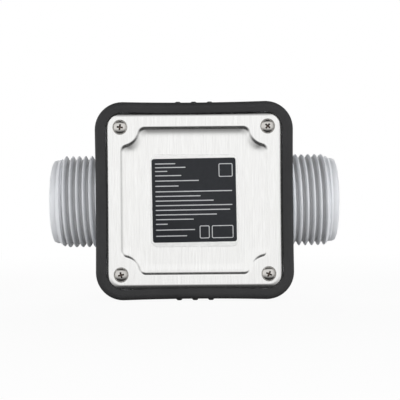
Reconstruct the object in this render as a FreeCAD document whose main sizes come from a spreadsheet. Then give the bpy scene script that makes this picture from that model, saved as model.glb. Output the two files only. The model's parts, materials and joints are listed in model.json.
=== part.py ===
import FreeCAD, Part
import Sketcher
import math
import os
import re

# Turbine flow meter: a moulded housing with a threaded port at each end, a helical
# rotor turning in its bore, battery cells behind a stamped steel plate, and a display
# cover with two push-buttons, all held in a rubber boot by four long screws.
#
# Every piece is drawn round the flow axis: X runs along the flow, Y goes from the
# steel plate (minus) to the display (plus), Z is up. The flow axis is then moved so
# that the meter stands on Z = 0 with X and Y centred.

Vector = FreeCAD.Vector

SIZES = [
    # flow tube and ports
    ("overall_length", 102.0, "end of one port to the end of the other"),
    ("thread_major", 33.249, "outside diameter of the G1 pipe thread"),
    ("thread_depth", 1.479, "crest to root of the G1 pipe thread"),
    ("thread_pitch", 2.309, "one turn of the thread to the next"),
    ("thread_flat", 0.385, "flat crest of the thread, and flat floor of its groove"),
    ("thread_flank", 27.5, "slope of each flank of the thread, in degrees"),
    ("thread_nose", 4.2, "end of the port to the full height of the thread"),
    ("thread_lead", 1.9, "slope up to the full height of the thread"),
    ("nose_drop", 0.05, "plain nose below the root of the thread"),
    ("inlet_crest", 0.45, "inlet's first full crest at the top, in from the slope"),
    ("outlet_crest", 0.78, "outlet's first full crest at the top, in from the slope"),
    ("nose_radius", 1.3, "rounded outer edge of each port"),
    ("mouth_chamfer", 0.3, "bevel inside each port's mouth"),
    ("bore", 24.0, "bore round the rotor"),
    ("chamber_length", 16.0, "length of the rotor's bore"),
    ("tube_wall", 2.2, "wall of the flow tube inside the block"),
    ("collar_step", 1.375, "collar above the thread, all round"),
    ("collar_projection", 0.5, "collar out past the boot"),
    # block
    ("block_side", 62.4, "width and height of the square block"),
    ("block_corner", 6.6, "corner radius of the block"),
    ("block_wall", 2.6, "side walls of the block"),
    ("back_room", 4.8, "block's back rim behind the flow tube"),
    ("front_room", 2.3, "block's front rim in front of the flow tube"),
    ("port_room", 0.8, "least the block's front rim stands in front of the ports"),
    ("web_back", 7.0, "flow axis to the back of the dividing web"),
    ("web_thickness", 2.5, "web between the cells and the electronics"),
    ("screw_inset", 5.8, "screws in from the block's sides"),
    ("boss", 6.8, "diameter of the screw bosses"),
    ("screw_hole", 3.4, "clearance hole for the screws"),
    ("post", 4.4, "diameter of the posts under the circuit board"),
    ("post_spacing", 28.0, "posts, side to side"),
    ("post_inset", 3.5, "posts in from the board's top and bottom edges"),
    # boot
    ("boot_wall", 2.5, "side walls of the boot, at the middle of each side"),
    ("boot_corner", 9.4, "corner radius of the boot"),
    ("boot_dip", 0.36, "how far each side dips between its corners"),
    ("back_lip_rise", 0.8, "boot's back lip above the steel plate"),
    ("front_lip_rise", 1.0, "boot's front lip above the display cover"),
    ("boot_gap", 0.1, "boot round the block"),
    ("back_lip_gap", 0.4, "boot's back lip round the steel plate"),
    ("front_lip", 2.7, "boot's front lip over the display cover"),
    ("boot_edge", 1.1, "bevelled outer edges of the boot"),
    ("lip_bevel", 0.9, "bevel of the lips towards their openings"),
    ("port_gap", 0.2, "boot's holes round the ports' collars"),
    ("rib_pitch", 5.5, "grip ribs, one to the next"),
    ("rib_count", 3.0, "grip ribs on the top and on the bottom"),
    ("rib_width", 2.6, "foot of a grip rib"),
    ("rib_flat", 1.0, "flat crest of a grip rib"),
    ("rib_top", 0.5, "height of the top ribs"),
    ("rib_bottom", 0.7, "height of the bottom ribs"),
    ("rib_margin", 3.0, "ribs' ends from the boot's front and back"),
    # back plate, its gasket and the label
    ("plate_inset", 1.2, "steel plate in from the block's sides"),
    ("plate_corner", 5.2, "corner radius of the steel plate"),
    ("plate_roll", 1.2, "rolled-over edge of the plate"),
    ("plate_skirt", 1.4, "depth of the plate's turned-in edge"),
    ("sheet", 0.8, "thickness of the sheet"),
    ("field_depth", 1.2, "depth of the pressed field"),
    ("field_notch", 6.35, "radius left round each screw by the field"),
    ("field_round", 2.2, "rounding where a notch meets the field's sides"),
    ("field_edge", 0.35, "eased edges of the pressed field"),
    ("dimple", 8.0, "mouth of the dimple under each screw head"),
    ("dimple_floor", 6.2, "floor of the dimple"),
    ("dimple_depth", 0.6, "depth of the dimple"),
    ("gasket_inset", 0.5, "gasket in from the outer edges"),
    ("gasket_gap", 0.3, "gasket clear of the pressed field"),
    ("label_width", 30.3, "label, side to side"),
    ("label_height", 31.9, "label, top to bottom"),
    ("label_corner", 2.5, "corner radius of the label"),
    ("label_thickness", 0.4, "label standing on the plate"),
    # screws and inserts
    ("screw", 3.0, "shank of the screws"),
    ("screw_short", 0.3, "screw's tip short of the end of its insert"),
    ("screw_head", 5.2, "diameter of the pan heads"),
    ("screw_head_height", 1.25, "height of the pan heads"),
    ("screw_head_crown", 0.9, "width of the sloping rim of a head"),
    ("cross_width", 0.8, "width of the cross recess"),
    ("cross_span", 2.9, "length of the cross recess"),
    ("cross_depth", 0.9, "depth of the cross recess"),
    ("insert", 4.2, "outside of the brass inserts"),
    ("insert_length", 6.0, "length of the brass inserts"),
    ("insert_pocket", 8.0, "depth of the holes for the inserts"),
    # display cover
    ("cover_gasket", 0.8, "gasket between the block and the cover"),
    ("cover_depth", 18.1, "cover's back to its face"),
    ("panel_rise", 1.2, "raised panel above the shoulder under the boot's lip"),
    ("cover_panel_gap", 0.4, "raised panel inside the boot's opening"),
    ("cover_panel_corner", 4.0, "corner radius of the raised panel"),
    ("cover_skin", 2.4, "thickness of the cover's face"),
    ("cover_wall", 2.4, "side walls of the cover"),
    ("cover_edge", 0.5, "bevelled edge of the raised panel"),
    ("cover_boss", 7.2, "bosses for the inserts"),
    ("window_width", 42.0, "opening for the window, side to side"),
    ("window_height", 20.0, "opening for the window, top to bottom"),
    ("window_rise", 9.0, "window's centre above the flow axis"),
    ("window_corner", 2.0, "corner radius of the window's opening"),
    ("window_bevel", 0.9, "bevel round the window"),
    ("window_gap", 0.15, "window inside its opening"),
    ("window_ledge", 2.0, "rim of the window behind the cover"),
    ("window_rim", 1.6, "thickness of the window's rim"),
    ("window_inset", 1.1, "window's face below the cover's face"),
    # display and circuit board
    ("board_inset", 6.7, "circuit board in from the block's sides"),
    ("board_chamfer", 6.0, "corners cut off the board"),
    ("board_room", 2.5, "back of the board in front of the block's rim"),
    ("board_thickness", 1.6, "thickness of the board"),
    ("frame_wall", 1.2, "side walls of the display's frame"),
    ("frame_lip", 0.8, "front lip of the display's frame"),
    ("frame_lip_width", 1.3, "how far the lip covers the glass"),
    ("glass_gap", 0.3, "glass inside the frame"),
    ("glass_thickness", 2.2, "both sheets of the display glass"),
    ("strip_width", 2.2, "contact strips under the glass"),
    ("strip_inset", 0.6, "contact strips in from the edge of the glass"),
    ("strip_margin", 2.0, "contact strips shorter than the glass, each end"),
    # push-buttons
    ("button_spacing", 28.0, "one button to the other"),
    ("button_drop", 17.0, "buttons below the flow axis"),
    ("button_hole", 12.0, "hole for each button"),
    ("button_gap", 0.3, "button inside its hole, all round"),
    ("button_proud", 0.8, "button above the cover's face"),
    ("button_travel", 0.8, "how far a button presses in"),
    ("button_edge", 0.6, "bevelled edge of the buttons"),
    ("button_dish", 0.4, "hollow in the face of the buttons"),
    ("sleeve_wall", 1.3, "sleeve behind each button's hole"),
    ("sleeve_depth", 5.0, "length of the sleeve"),
    ("flange", 13.8, "flange that keeps the button in"),
    ("flange_thickness", 1.1, "thickness of that flange"),
    ("flange_gap", 0.3, "flange behind its sleeve at rest"),
    ("stem", 3.0, "stem that meets the switch"),
    ("stem_gap", 1.0, "stem above the switch at rest"),
    ("ring_section", 1.0, "section of the buttons' sealing rings"),
    ("ring_gap", 0.05, "sealing ring inside the button's hole"),
    ("ring_depth", 4.4, "sealing ring below the cover's face"),
    ("switch_side", 6.0, "body of a tactile switch"),
    ("switch_height", 3.5, "height of a tactile switch's body"),
    ("plunger", 3.4, "diameter of the switch's plunger"),
    ("plunger_height", 0.8, "plunger above the switch's body"),
    # battery cells and contacts
    ("cell", 10.5, "diameter of an AAA cell"),
    ("cell_length", 44.5, "length of a cell over its button"),
    ("cell_button", 3.8, "diameter of the cell's button"),
    ("cell_button_height", 0.8, "height of the cell's button"),
    ("cell_gap", 2.0, "cells clear of the flow tube"),
    ("cell_lift", 0.65, "cells clear of the dividing web"),
    ("cradle_spacing", 24.0, "cradles under each cell"),
    ("cradle_thickness", 2.0, "thickness of a cradle"),
    ("contact_sheet", 0.4, "thickness of the contact plates"),
    ("contact_side", 7.0, "width and height of the contact plates"),
    ("stop_thickness", 2.0, "stop behind the flat contact"),
    # rotor and straighteners
    ("rotor_hub", 10.0, "diameter of the rotor's hub"),
    ("rotor_hub_length", 12.0, "length of the rotor's hub"),
    ("rotor_nose", 1.2, "rounded ends of the rotor's hub"),
    ("blade_count", 6.0, "blades round the rotor"),
    ("blade_inset", 0.3, "blades short of the hub's rounded ends"),
    ("blade_angle", 38.0, "twist of a blade over its length, in degrees"),
    ("blade_root", 1.7, "blade thickness at the hub"),
    ("blade_tip", 0.9, "blade thickness at the tip"),
    ("tip_gap", 0.4, "blade tips inside the bore"),
    ("shaft_diameter", 2.0, "diameter of the rotor's shaft"),
    ("shaft_length", 24.0, "length of the rotor's shaft"),
    ("shaft_bevel", 0.2, "bevelled ends of the shaft"),
    ("magnet", 2.4, "diameter of the magnets in the hub"),
    ("magnet_length", 3.0, "length of the magnets"),
    ("magnet_depth", 0.2, "magnets below the hub's surface"),
    ("hub_gap", 0.6, "rotor's hub to each straightener's hub"),
    ("straightener_length", 20.0, "ring of a straightener"),
    ("straightener_hub", 9.0, "hub of a straightener"),
    ("straightener_nose", 7.0, "length of the hub's pointed nose"),
    ("ring_fit", 0.05, "straightener inside its bore, all round"),
    ("ring_wall", 1.0, "wall of the straightener's ring"),
    ("vane_count", 5.0, "vanes of a straightener"),
    ("vane_thickness", 1.2, "thickness of a vane"),
    ("vane_inset", 1.5, "vanes short of the ring's ends"),
    ("bush_diameter", 5.0, "outside of a bearing bush"),
    ("bearing_length", 4.0, "length of a bearing bush"),
    ("bearing_fit", 0.03, "shaft inside its bush, all round"),
    ("shaft_relief", 0.6, "room past the shaft's end"),
    ("shaft_room", 0.3, "room round the shaft behind its bush"),
    ("retainer_thickness", 1.1, "retaining ring along the flow"),
    ("retainer_bite", 0.9, "retaining ring into the wall of the bore"),
    ("retainer_cover", 0.9, "retaining ring in from the wall of the bore"),
    ("retainer_slit", 5.0, "slit in the retaining ring"),
    ("retainer_lug", 3.2, "lugs beside the slit"),
    ("lug_inset", 0.2, "lugs in from the outside of the ring"),
    ("retainer_eye", 1.2, "holes in the lugs"),
    # pulse sensors on the back of the circuit board
    ("reed", 2.0, "diameter of a reed switch"),
    ("reed_length", 11.0, "length of its capsule"),
    ("reed_reach", 17.0, "length over its wires"),
    ("reed_wire", 0.6, "diameter of its wires"),
    ("reed_seal", 0.6, "length of the capsule's sloping ends"),
    ("reed_drop", 2.0, "reed switches below the board"),
    ("reed_spacing", 7.0, "one reed switch to the other"),
    # how the forms are drawn
    ("overrun", 1.0, "how far a cut runs past the face that it opens"),
    ("overlap", 0.5, "how far a joined form runs into the one that carries it"),
]

doc = FreeCAD.newDocument("TurbineFlowMeter")
sheet = doc.addObject("Spreadsheet::Sheet", "Sizes")
for row, (alias, number, note) in enumerate(SIZES, start=1):
    sheet.set(f"A{row}", note)
    sheet.set(f"B{row}", str(number))
    sheet.setAlias(f"B{row}", alias)
doc.recompute()

ALIASES = sorted((alias for alias, _, _ in SIZES), key=len, reverse=True)
ALIAS_WORD = re.compile(r"\b(" + "|".join(ALIASES) + r")\b")


def bound(text):
    # an expression in plain size names, as the document needs it
    return ALIAS_WORD.sub(r"Sizes.\1", text)


def value(text):
    # the number that such an expression gives now
    return float(sheet.evalExpression(bound(text)))


# Sizes and places that several pieces share; places are measured from the flow axis.
SOCKET = "(bore + 2 * ring_wall)"
TUBE = "(" + SOCKET + " + 2 * tube_wall)"
COLLAR = "(thread_major + 2 * collar_step)"
THREAD_ROOT = "(thread_major - 2 * thread_depth)"
BLOCK_BACK = "(" + TUBE + " / 2 + back_room)"
BLOCK_FRONT = "max(" + TUBE + " / 2 + front_room; thread_major / 2 + port_room)"
SCREW_SPACING = "(block_side - 2 * screw_inset)"
PLATE_SIDE = "(block_side - 2 * plate_inset)"
PLATE_FACE = "(" + BLOCK_BACK + " + cover_gasket + sheet)"
DIMPLE_FACE = "(" + PLATE_FACE + " - dimple_depth)"
COVER_BACK = "(" + BLOCK_FRONT + " + cover_gasket)"
COVER_FACE = "(" + COVER_BACK + " + cover_depth)"
COVER_INSIDE = "(" + COVER_FACE + " - cover_skin)"
SHOULDER_FACE = "(" + COVER_FACE + " - panel_rise)"
SCREW_LENGTH = "(" + DIMPLE_FACE + " + " + COVER_BACK + " + insert_length - screw_short)"
BOOT_SIDE = "(block_side + 2 * boot_gap + 2 * boot_wall)"
BOOT_BACK = "(" + PLATE_FACE + " + back_lip_rise)"
BOOT_FRONT = "(" + COVER_FACE + " + front_lip_rise)"
BACK_OPENING = "(" + PLATE_SIDE + " + 2 * back_lip_gap)"
FRONT_OPENING = "(block_side - 2 * front_lip)"
AXIS_Y = "((" + BOOT_BACK + " - " + BOOT_FRONT + ") / 2)"
AXIS_Z = "(" + BOOT_SIDE + " / 2 + rib_bottom)"
BOARD_SIDE = "(block_side - 2 * board_inset)"
BOARD_BACK = "(" + BLOCK_FRONT + " + board_room)"
BOARD_FRONT = "(" + BOARD_BACK + " + board_thickness)"
WINDOW_BACK = "(" + COVER_INSIDE + " - window_rim)"
GLASS_FRONT = "(" + WINDOW_BACK + " - frame_lip)"
GLASS_WIDTH = "(window_width + 2 * window_ledge - 2 * frame_wall - 2 * glass_gap)"
GLASS_HEIGHT = "(window_height + 2 * window_ledge - 2 * frame_wall - 2 * glass_gap)"
FLANGE_FRONT = "(" + COVER_INSIDE + " - sleeve_depth - flange_gap)"
SWITCH_TOP = "(" + BOARD_FRONT + " + switch_height + plunger_height)"
CELL_BACK = "(web_back + cell_lift + cell / 2)"
CELL_REACH = "(" + TUBE + " / 2 + cell_gap + cell / 2)"
CELL_RISE = f"sqrt({CELL_REACH} * {CELL_REACH} - {CELL_BACK} * {CELL_BACK})"
SHOULDER = "(chamber_length / 2)"
RETAINER_START = "(" + SHOULDER + " + straightener_length)"
STRAIGHTENER_FACE = "(rotor_hub_length / 2 + hub_gap)"
BLADE_LENGTH = "(rotor_hub_length - 2 * rotor_nose - 2 * blade_inset)"
CORNERS = [("left", "upper", -1, 1), ("right", "upper", 1, 1),
           ("left", "lower", -1, -1), ("right", "lower", 1, -1)]


def signed(sign, text):
    return text if sign > 0 else f"-({text})"


def new_body(label):
    body = doc.addObject("PartDesign::Body", label)
    body.Label = label
    body.setExpression(".Placement.Base.y", bound(AXIS_Y))
    body.setExpression(".Placement.Base.z", bound(AXIS_Z))
    doc.recompute()
    return body


def origin_feature(body, role):
    return next(item for item in body.Origin.OriginFeatures if item.Role == role)


# A plan sketch looks along Y, with the sketch's x as X and its y as Z; "at" is how far
# it lies towards the display. A section sketch looks along X, with x as Y and y as Z.
# A side sketch holds the X axis, so that its x is X and its y is the radius.
def plan(body, name, at):
    return new_sketch(body, name, "XZ_Plane", f"-({at})")


def section(body, name, at="0"):
    return new_sketch(body, name, "YZ_Plane", at)


def side(body, name):
    return new_sketch(body, name, "XZ_Plane", "0")


def new_sketch(body, name, role, offset):
    sketch = body.newObject("Sketcher::SketchObject", name)
    sketch.AttachmentSupport = [(origin_feature(body, role), "")]
    sketch.MapMode = "FlatFace"
    sketch.setExpression(".AttachmentOffset.Base.z", bound(offset))
    return sketch


def dimension(sketch, kind, where, text):
    # one dimension of the sketch, named and bound to the sheet
    index = sketch.addConstraint(Sketcher.Constraint(kind, *where, value(text)))
    name = f"size{index}"
    sketch.renameConstraint(index, name)
    sketch.setExpression(f"Constraints.{name}", bound(text))


def rounded_off(end, radius, size):
    # the outer edge of a turned end, rounded off by two bevels: three profile points
    # from the end face to the side
    share = 1 - math.sqrt(0.5)
    return [(end, f"{radius} - {size}"),
            (f"({end} - {size} * {share:.3f})", f"{radius} - {size} * {share:.3f}"),
            (f"({end} - {size})", radius)]


def circle(sketch, diameter, x="0", y="0"):
    centre = Vector(value(x), value(y), 0)
    index = sketch.addGeometry(Part.Circle(centre, Vector(0, 0, 1), value(diameter) / 2))
    dimension(sketch, "Diameter", (index,), diameter)
    dimension(sketch, "DistanceX", (index, 3), x)
    dimension(sketch, "DistanceY", (index, 3), y)


def polygon(sketch, corners):
    # straight sides, with each corner's two coordinates bound to the sheet
    points = [Vector(value(x), value(y), 0) for x, y in corners]
    lines = [Part.LineSegment(a, b) for a, b in zip(points, points[1:] + points[:1])]
    first = sketch.addGeometry(lines)[0]
    count = len(lines)
    for step in range(count):
        following = first + (step + 1) % count
        sketch.addConstraint(Sketcher.Constraint("Coincident", first + step, 2, following, 1))
    for step, (x, y) in enumerate(corners):
        dimension(sketch, "DistanceX", (first + step, 1), x)
        dimension(sketch, "DistanceY", (first + step, 1), y)


def rectangle(sketch, x0, y0, x1, y1):
    polygon(sketch, [(x0, y0), (x1, y0), (x1, y1), (x0, y1)])


def arc(centre, radius, start, end):
    ring = Part.Circle(centre, Vector(0, 0, 1), radius)
    return Part.ArcOfCircle(ring, math.radians(start), math.radians(end))


def tangent_loop(sketch, pieces):
    # joins lines and arcs end to start all the way round, each tangent to the next
    first = sketch.addGeometry([piece for piece, _ in pieces])[0]
    ends = [(first + step, turn) for step, (_, turn) in enumerate(pieces)]
    for (here, turn), (following, next_turn) in zip(ends, ends[1:] + ends[:1]):
        leaving = 2 if turn > 0 else 1
        arriving = 1 if next_turn > 0 else 2
        sketch.addConstraint(
            Sketcher.Constraint("Tangent", here, leaving, following, arriving))
    return first


def rounded_rectangle(sketch, width, height, corner, x="0", y="0"):
    half_w, half_h, radius = value(width) / 2, value(height) / 2, value(corner)
    middle = Vector(value(x), value(y), 0)
    pieces = []
    for turn in range(4):
        flat = half_h if turn % 2 == 0 else half_w
        reach = half_w if turn % 2 == 0 else half_h
        spin = FreeCAD.Rotation(Vector(0, 0, 1), 90 * turn)
        start = middle + spin.multVec(Vector(radius - reach, -flat, 0))
        end = middle + spin.multVec(Vector(reach - radius, -flat, 0))
        centre = middle + spin.multVec(Vector(reach - radius, radius - flat, 0))
        pieces.append((Part.LineSegment(start, end), 1))
        pieces.append((arc(centre, radius, 90 * turn - 90, 90 * turn), 1))
    first = tangent_loop(sketch, pieces)
    bottom, right, top, left = first, first + 2, first + 4, first + 6
    for line in (bottom, top):
        sketch.addConstraint(Sketcher.Constraint("Horizontal", line))
    for line in (right, left):
        sketch.addConstraint(Sketcher.Constraint("Vertical", line))
    for corner_arc in (3, 5, 7):
        sketch.addConstraint(Sketcher.Constraint("Equal", first + 1, first + corner_arc))
    dimension(sketch, "Radius", (first + 1,), corner)
    dimension(sketch, "DistanceX", (right, 1), f"({x}) + ({width}) / 2")
    dimension(sketch, "DistanceX", (left, 1), f"({x}) - ({width}) / 2")
    dimension(sketch, "DistanceY", (top, 1), f"({y}) + ({height}) / 2")
    dimension(sketch, "DistanceY", (bottom, 1), f"({y}) - ({height}) / 2")


def dipped_square(sketch, middle, corner, dip):
    # a square whose sides curve inwards by "dip" between rounded corners; each side is
    # an arc of a very large circle with its centre out on the axis
    flat = f"(({middle}) / 2 - ({corner}))"
    sweep = f"(({flat} * {flat} + ({dip}) * ({dip})) / (2 * ({dip})))"
    radius, big = value(corner), value(sweep)
    out = value(middle) / 2 + big
    # the corner circle touches both neighbouring side circles from outside
    reach = (out - math.sqrt(2 * (big + radius) ** 2 - out ** 2)) / 2
    lean = math.degrees(math.asin(reach / (big + radius)))
    pieces = []
    for turn in range(4):
        spin = FreeCAD.Rotation(Vector(0, 0, 1), 90 * turn)
        below = spin.multVec(Vector(0, -out, 0))
        centre = spin.multVec(Vector(reach, -reach, 0))
        up = 90 * turn + 90
        pieces.append((arc(below, big, up - lean, up + lean), -1))
        pieces.append((arc(centre, radius, 90 * turn - 90 - lean, 90 * turn + lean), 1))
    first = tangent_loop(sketch, pieces)
    for turn in range(4):
        x, y = [("0", -1), (1, "0"), ("0", 1), (-1, "0")][turn]
        distance = f"(({middle}) / 2 + {sweep})"
        x = x if x == "0" else signed(x, distance)
        y = y if y == "0" else signed(y, distance)
        dimension(sketch, "DistanceX", (first + 2 * turn, 3), x)
        dimension(sketch, "DistanceY", (first + 2 * turn, 3), y)
        dimension(sketch, "Radius", (first + 2 * turn,), sweep)
        dimension(sketch, "Radius", (first + 2 * turn + 1,), corner)


def notched_square(sketch, pitch, notch, rounding):
    # a square through the screws' centres, with a round notch left for each screw and
    # the notch's ends rounded into the sides
    half, radius, fillet = value(pitch) / 2, value(notch), value(rounding)
    run = math.sqrt(radius ** 2 + 2 * radius * fillet)
    lean = math.degrees(math.atan2(fillet, run))
    pieces = []
    for turn in range(4):
        angle = 90 * turn
        spin = FreeCAD.Rotation(Vector(0, 0, 1), angle)
        screw = spin.multVec(Vector(half, -half, 0))
        before = spin.multVec(Vector(half - run, fillet - half, 0))
        after = spin.multVec(Vector(half - fillet, run - half, 0))
        start = spin.multVec(Vector(run - half, -half, 0))
        end = spin.multVec(Vector(half - run, -half, 0))
        pieces.append((Part.LineSegment(start, end), 1))
        pieces.append((arc(before, fillet, angle - 90, angle - lean), 1))
        pieces.append((arc(screw, radius, angle + 90 + lean, angle + 180 - lean), -1))
        pieces.append((arc(after, fillet, angle - 90 + lean, angle), 1))
    first = tangent_loop(sketch, pieces)
    signs = [(1, -1), (1, 1), (-1, 1), (-1, -1)]
    for turn, (sign_x, sign_y) in enumerate(signs):
        line, start_round, hollow, end_round = [first + 4 * turn + k for k in range(4)]
        level = "Horizontal" if turn % 2 == 0 else "Vertical"
        sketch.addConstraint(Sketcher.Constraint(level, line))
        kind = "DistanceY" if turn % 2 == 0 else "DistanceX"
        away = -1 if turn in (0, 3) else 1
        dimension(sketch, kind, (line, 1), signed(away, f"({pitch}) / 2"))
        dimension(sketch, "DistanceX", (hollow, 3), signed(sign_x, f"({pitch}) / 2"))
        dimension(sketch, "DistanceY", (hollow, 3), signed(sign_y, f"({pitch}) / 2"))
        dimension(sketch, "Radius", (hollow,), notch)
        dimension(sketch, "Radius", (start_round,), rounding)
        dimension(sketch, "Radius", (end_round,), rounding)


def pad(body, name, sketch, length, towards_front=False, both_ways=False):
    feature = body.newObject("PartDesign::Pad", name)
    feature.Profile = sketch
    feature.setExpression("Length", bound(length))
    feature.Reversed = towards_front
    feature.Midplane = both_ways
    sketch.Visibility = False
    return feature


def pocket(body, name, sketch, length, towards_back=False, both_ways=False, taper=None):
    doc.recompute()
    before = body.Shape.Volume
    feature = body.newObject("PartDesign::Pocket", name)
    feature.Profile = sketch
    feature.setExpression("Length", bound(length))
    feature.Reversed = towards_back
    feature.Midplane = both_ways
    if taper:
        feature.setExpression("TaperAngle", bound(taper))
    doc.recompute()
    if body.Shape.Volume >= before:
        raise RuntimeError(f"{body.Label}: {name} cut nothing")
    return feature


def revolve(body, name, sketch, role="X_Axis"):
    feature = body.newObject("PartDesign::Revolution", name)
    feature.Profile = sketch
    feature.ReferenceAxis = (origin_feature(body, role), [""])
    feature.Angle = 360.0
    return feature


def groove(body, name, sketch, role="X_Axis"):
    doc.recompute()
    before = body.Shape.Volume
    feature = body.newObject("PartDesign::Groove", name)
    feature.Profile = sketch
    feature.ReferenceAxis = (origin_feature(body, role), [""])
    feature.Angle = 360.0
    doc.recompute()
    if body.Shape.Volume >= before:
        raise RuntimeError(f"{body.Label}: {name} cut nothing")
    return feature


def pattern(body, name, kind, originals, **settings):
    doc.recompute()
    feature = body.newObject(f"PartDesign::{kind}", name)
    feature.Originals = originals
    for key, setting in settings.items():
        if isinstance(setting, str):
            feature.setExpression(key, bound(setting))
        else:
            setattr(feature, key, setting)
    body.Tip = feature
    doc.recompute()
    return feature


def dress(body, name, kind, size_name, size, wanted):
    # a fillet or chamfer on the edges that the test picks; the body's own coordinates
    # are the document's less its Placement
    doc.recompute()
    base = body.Tip
    names = [f"Edge{number}" for number, edge in enumerate(base.Shape.Edges, start=1)
             if wanted(edge)]
    if not names:
        raise RuntimeError(f"{body.Label}: {name} found no edge")
    feature = body.newObject(f"PartDesign::{kind}", name)
    feature.Base = (base, names)
    feature.setExpression(size_name, bound(size))
    doc.recompute()
    return feature


def fillet(body, name, size, wanted):
    return dress(body, name, "Fillet", "Radius", size, wanted)


def chamfer(body, name, size, wanted):
    return dress(body, name, "Chamfer", "Size", size, wanted)


def lies_at(edge, axis, place, slack=0.01):
    # whether the whole edge lies in the plane at "place" along the axis 0, 1 or 2
    box = edge.BoundBox
    low = (box.XMin, box.YMin, box.ZMin)[axis]
    high = (box.XMax, box.YMax, box.ZMax)[axis]
    return abs(low - place) < slack and abs(high - place) < slack


def within(edge, limit):
    # whether the edge stays inside a square of that half-width round the flow axis
    box = edge.BoundBox
    return max(abs(box.XMin), abs(box.XMax), abs(box.ZMin), abs(box.ZMax)) < limit


def screw_circles(sketch, diameter):
    for _, _, sign_x, sign_z in CORNERS:
        circle(sketch, diameter, signed(sign_x, f"{SCREW_SPACING} / 2"),
               signed(sign_z, f"{SCREW_SPACING} / 2"))


# ------------------------------------------------------------ moulded housing
def make_housing():
    body = new_body("housing")
    block_depth = f"({BLOCK_BACK} + {BLOCK_FRONT})"

    outline = plan(body, "BlockOutline", BLOCK_FRONT)
    rounded_rectangle(outline, "block_side", "block_side", "block_corner")
    pad(body, "Block", outline, block_depth)

    inside = "(block_side - 2 * block_wall)"
    cells = plan(body, "CellChamberOutline", f"-{BLOCK_BACK}")
    rounded_rectangle(cells, inside, inside, "block_corner - block_wall")
    pocket(body, "CellChamber", cells, f"{BLOCK_BACK} - web_back")

    electronics = plan(body, "ElectronicsChamberOutline", BLOCK_FRONT)
    rounded_rectangle(electronics, inside, inside, "block_corner - block_wall")
    pocket(body, "ElectronicsChamber", electronics,
           f"{BLOCK_FRONT} + web_back - web_thickness", towards_back=True)

    bosses = plan(body, "BossOutline", BLOCK_FRONT)
    screw_circles(bosses, "boss")
    pad(body, "Bosses", bosses, block_depth)

    posts = plan(body, "PostOutline", BOARD_BACK)
    for _, _, sign_x, sign_z in CORNERS:
        circle(posts, "post", signed(sign_x, "post_spacing / 2"),
               signed(sign_z, f"({BOARD_SIDE} / 2 - post_inset)"))
    pad(body, "BoardPosts", posts, f"{BOARD_BACK} + web_back - web_thickness / 2")

    # cradles that carry the cells, and a stop behind each flat contact
    cradle_back = f"-({CELL_BACK} + cell / 4)"
    cradles = section(body, "CradleOutline", "cradle_spacing / 2 - cradle_thickness / 2")
    for sign in (1, -1):
        low = signed(sign, f"{THREAD_ROOT} / 4")
        high = signed(sign, "block_side / 2 - block_wall / 2")
        rectangle(cradles, cradle_back, low, "-web_back + web_thickness / 2", high)
    right = pad(body, "RightCradles", cradles, "cradle_thickness")
    pattern(body, "LeftCradles", "Mirrored", [right],
            MirrorPlane=(origin_feature(body, "YZ_Plane"), [""]))

    stops = plan(body, "StopOutline", "-web_back + web_thickness / 2")
    near = "(cell_length / 2 + contact_sheet)"
    for sign in (-1, 1):
        rectangle(stops, signed(sign, near), signed(-sign, f"{THREAD_ROOT} / 4 + 4"),
                  signed(sign, f"{near} + stop_thickness"),
                  signed(-sign, "block_side / 2 - block_wall / 2"))
    pad(body, "ContactStops", stops, f"{CELL_BACK} + cell / 2 - web_back + web_thickness / 2")

    # the tube with both ports, turned about the flow axis
    tube = side(body, "TubeProfile")
    end = "overall_length / 2"
    nose = f"({THREAD_ROOT} / 2 - nose_drop)"
    full_height = "(overall_length / 2 - thread_nose)"
    buried = "(block_side / 2 - block_wall / 2)"
    seat = f"({BOOT_SIDE} / 2 + collar_projection)"
    block_face = "block_side / 2"
    half = [(end, "0"), *rounded_off(end, nose, "nose_radius"),
            (f"{full_height} + thread_lead", nose), (full_height, "thread_major / 2"),
            (seat, "thread_major / 2"), (seat, f"{COLLAR} / 2"), (block_face, f"{COLLAR} / 2"),
            (block_face, "thread_major / 2"), (buried, "thread_major / 2"),
            (buried, f"{TUBE} / 2")]
    mirrored = [(f"-({x})", radius) for x, radius in reversed(half)]
    polygon(tube, half + mirrored)
    revolve(body, "TubeAndPorts", tube)

    seats = section(body, "CellSeatOutline", "-cell_length / 2")
    for sign in (1, -1):
        circle(seats, "cell", f"-{CELL_BACK}", signed(sign, CELL_RISE))
    pocket(body, "CellSeats", seats, "cell_length", towards_back=True)

    bore = side(body, "BoreProfile")
    half = [(f"{end} + overrun", "0"),
            (f"{end} + overrun", f"{SOCKET} / 2 + mouth_chamfer + overrun"),
            (f"{end} - mouth_chamfer", f"{SOCKET} / 2"),
            (SHOULDER, f"{SOCKET} / 2"), (SHOULDER, "bore / 2")]
    polygon(bore, half + [(f"-({x})", radius) for x, radius in reversed(half)])
    groove(body, "Bore", bore)

    retainers = side(body, "RetainerGrooveProfile")
    for sign in (1, -1):
        rectangle(retainers, signed(sign, RETAINER_START), "bore / 2",
                  signed(sign, f"{RETAINER_START} + retainer_thickness"),
                  f"{SOCKET} / 2 + retainer_bite")
    groove(body, "RetainerGrooves", retainers)

    holes = plan(body, "ScrewHoleOutline", BLOCK_FRONT)
    screw_circles(holes, "screw_hole")
    pocket(body, "ScrewHoles", holes, block_depth, towards_back=True)

    cut_thread(body, "Inlet", -1, full_height, seat, "inlet_crest")
    cut_thread(body, "Outlet", 1, full_height, seat, "outlet_crest")
    return body


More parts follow.
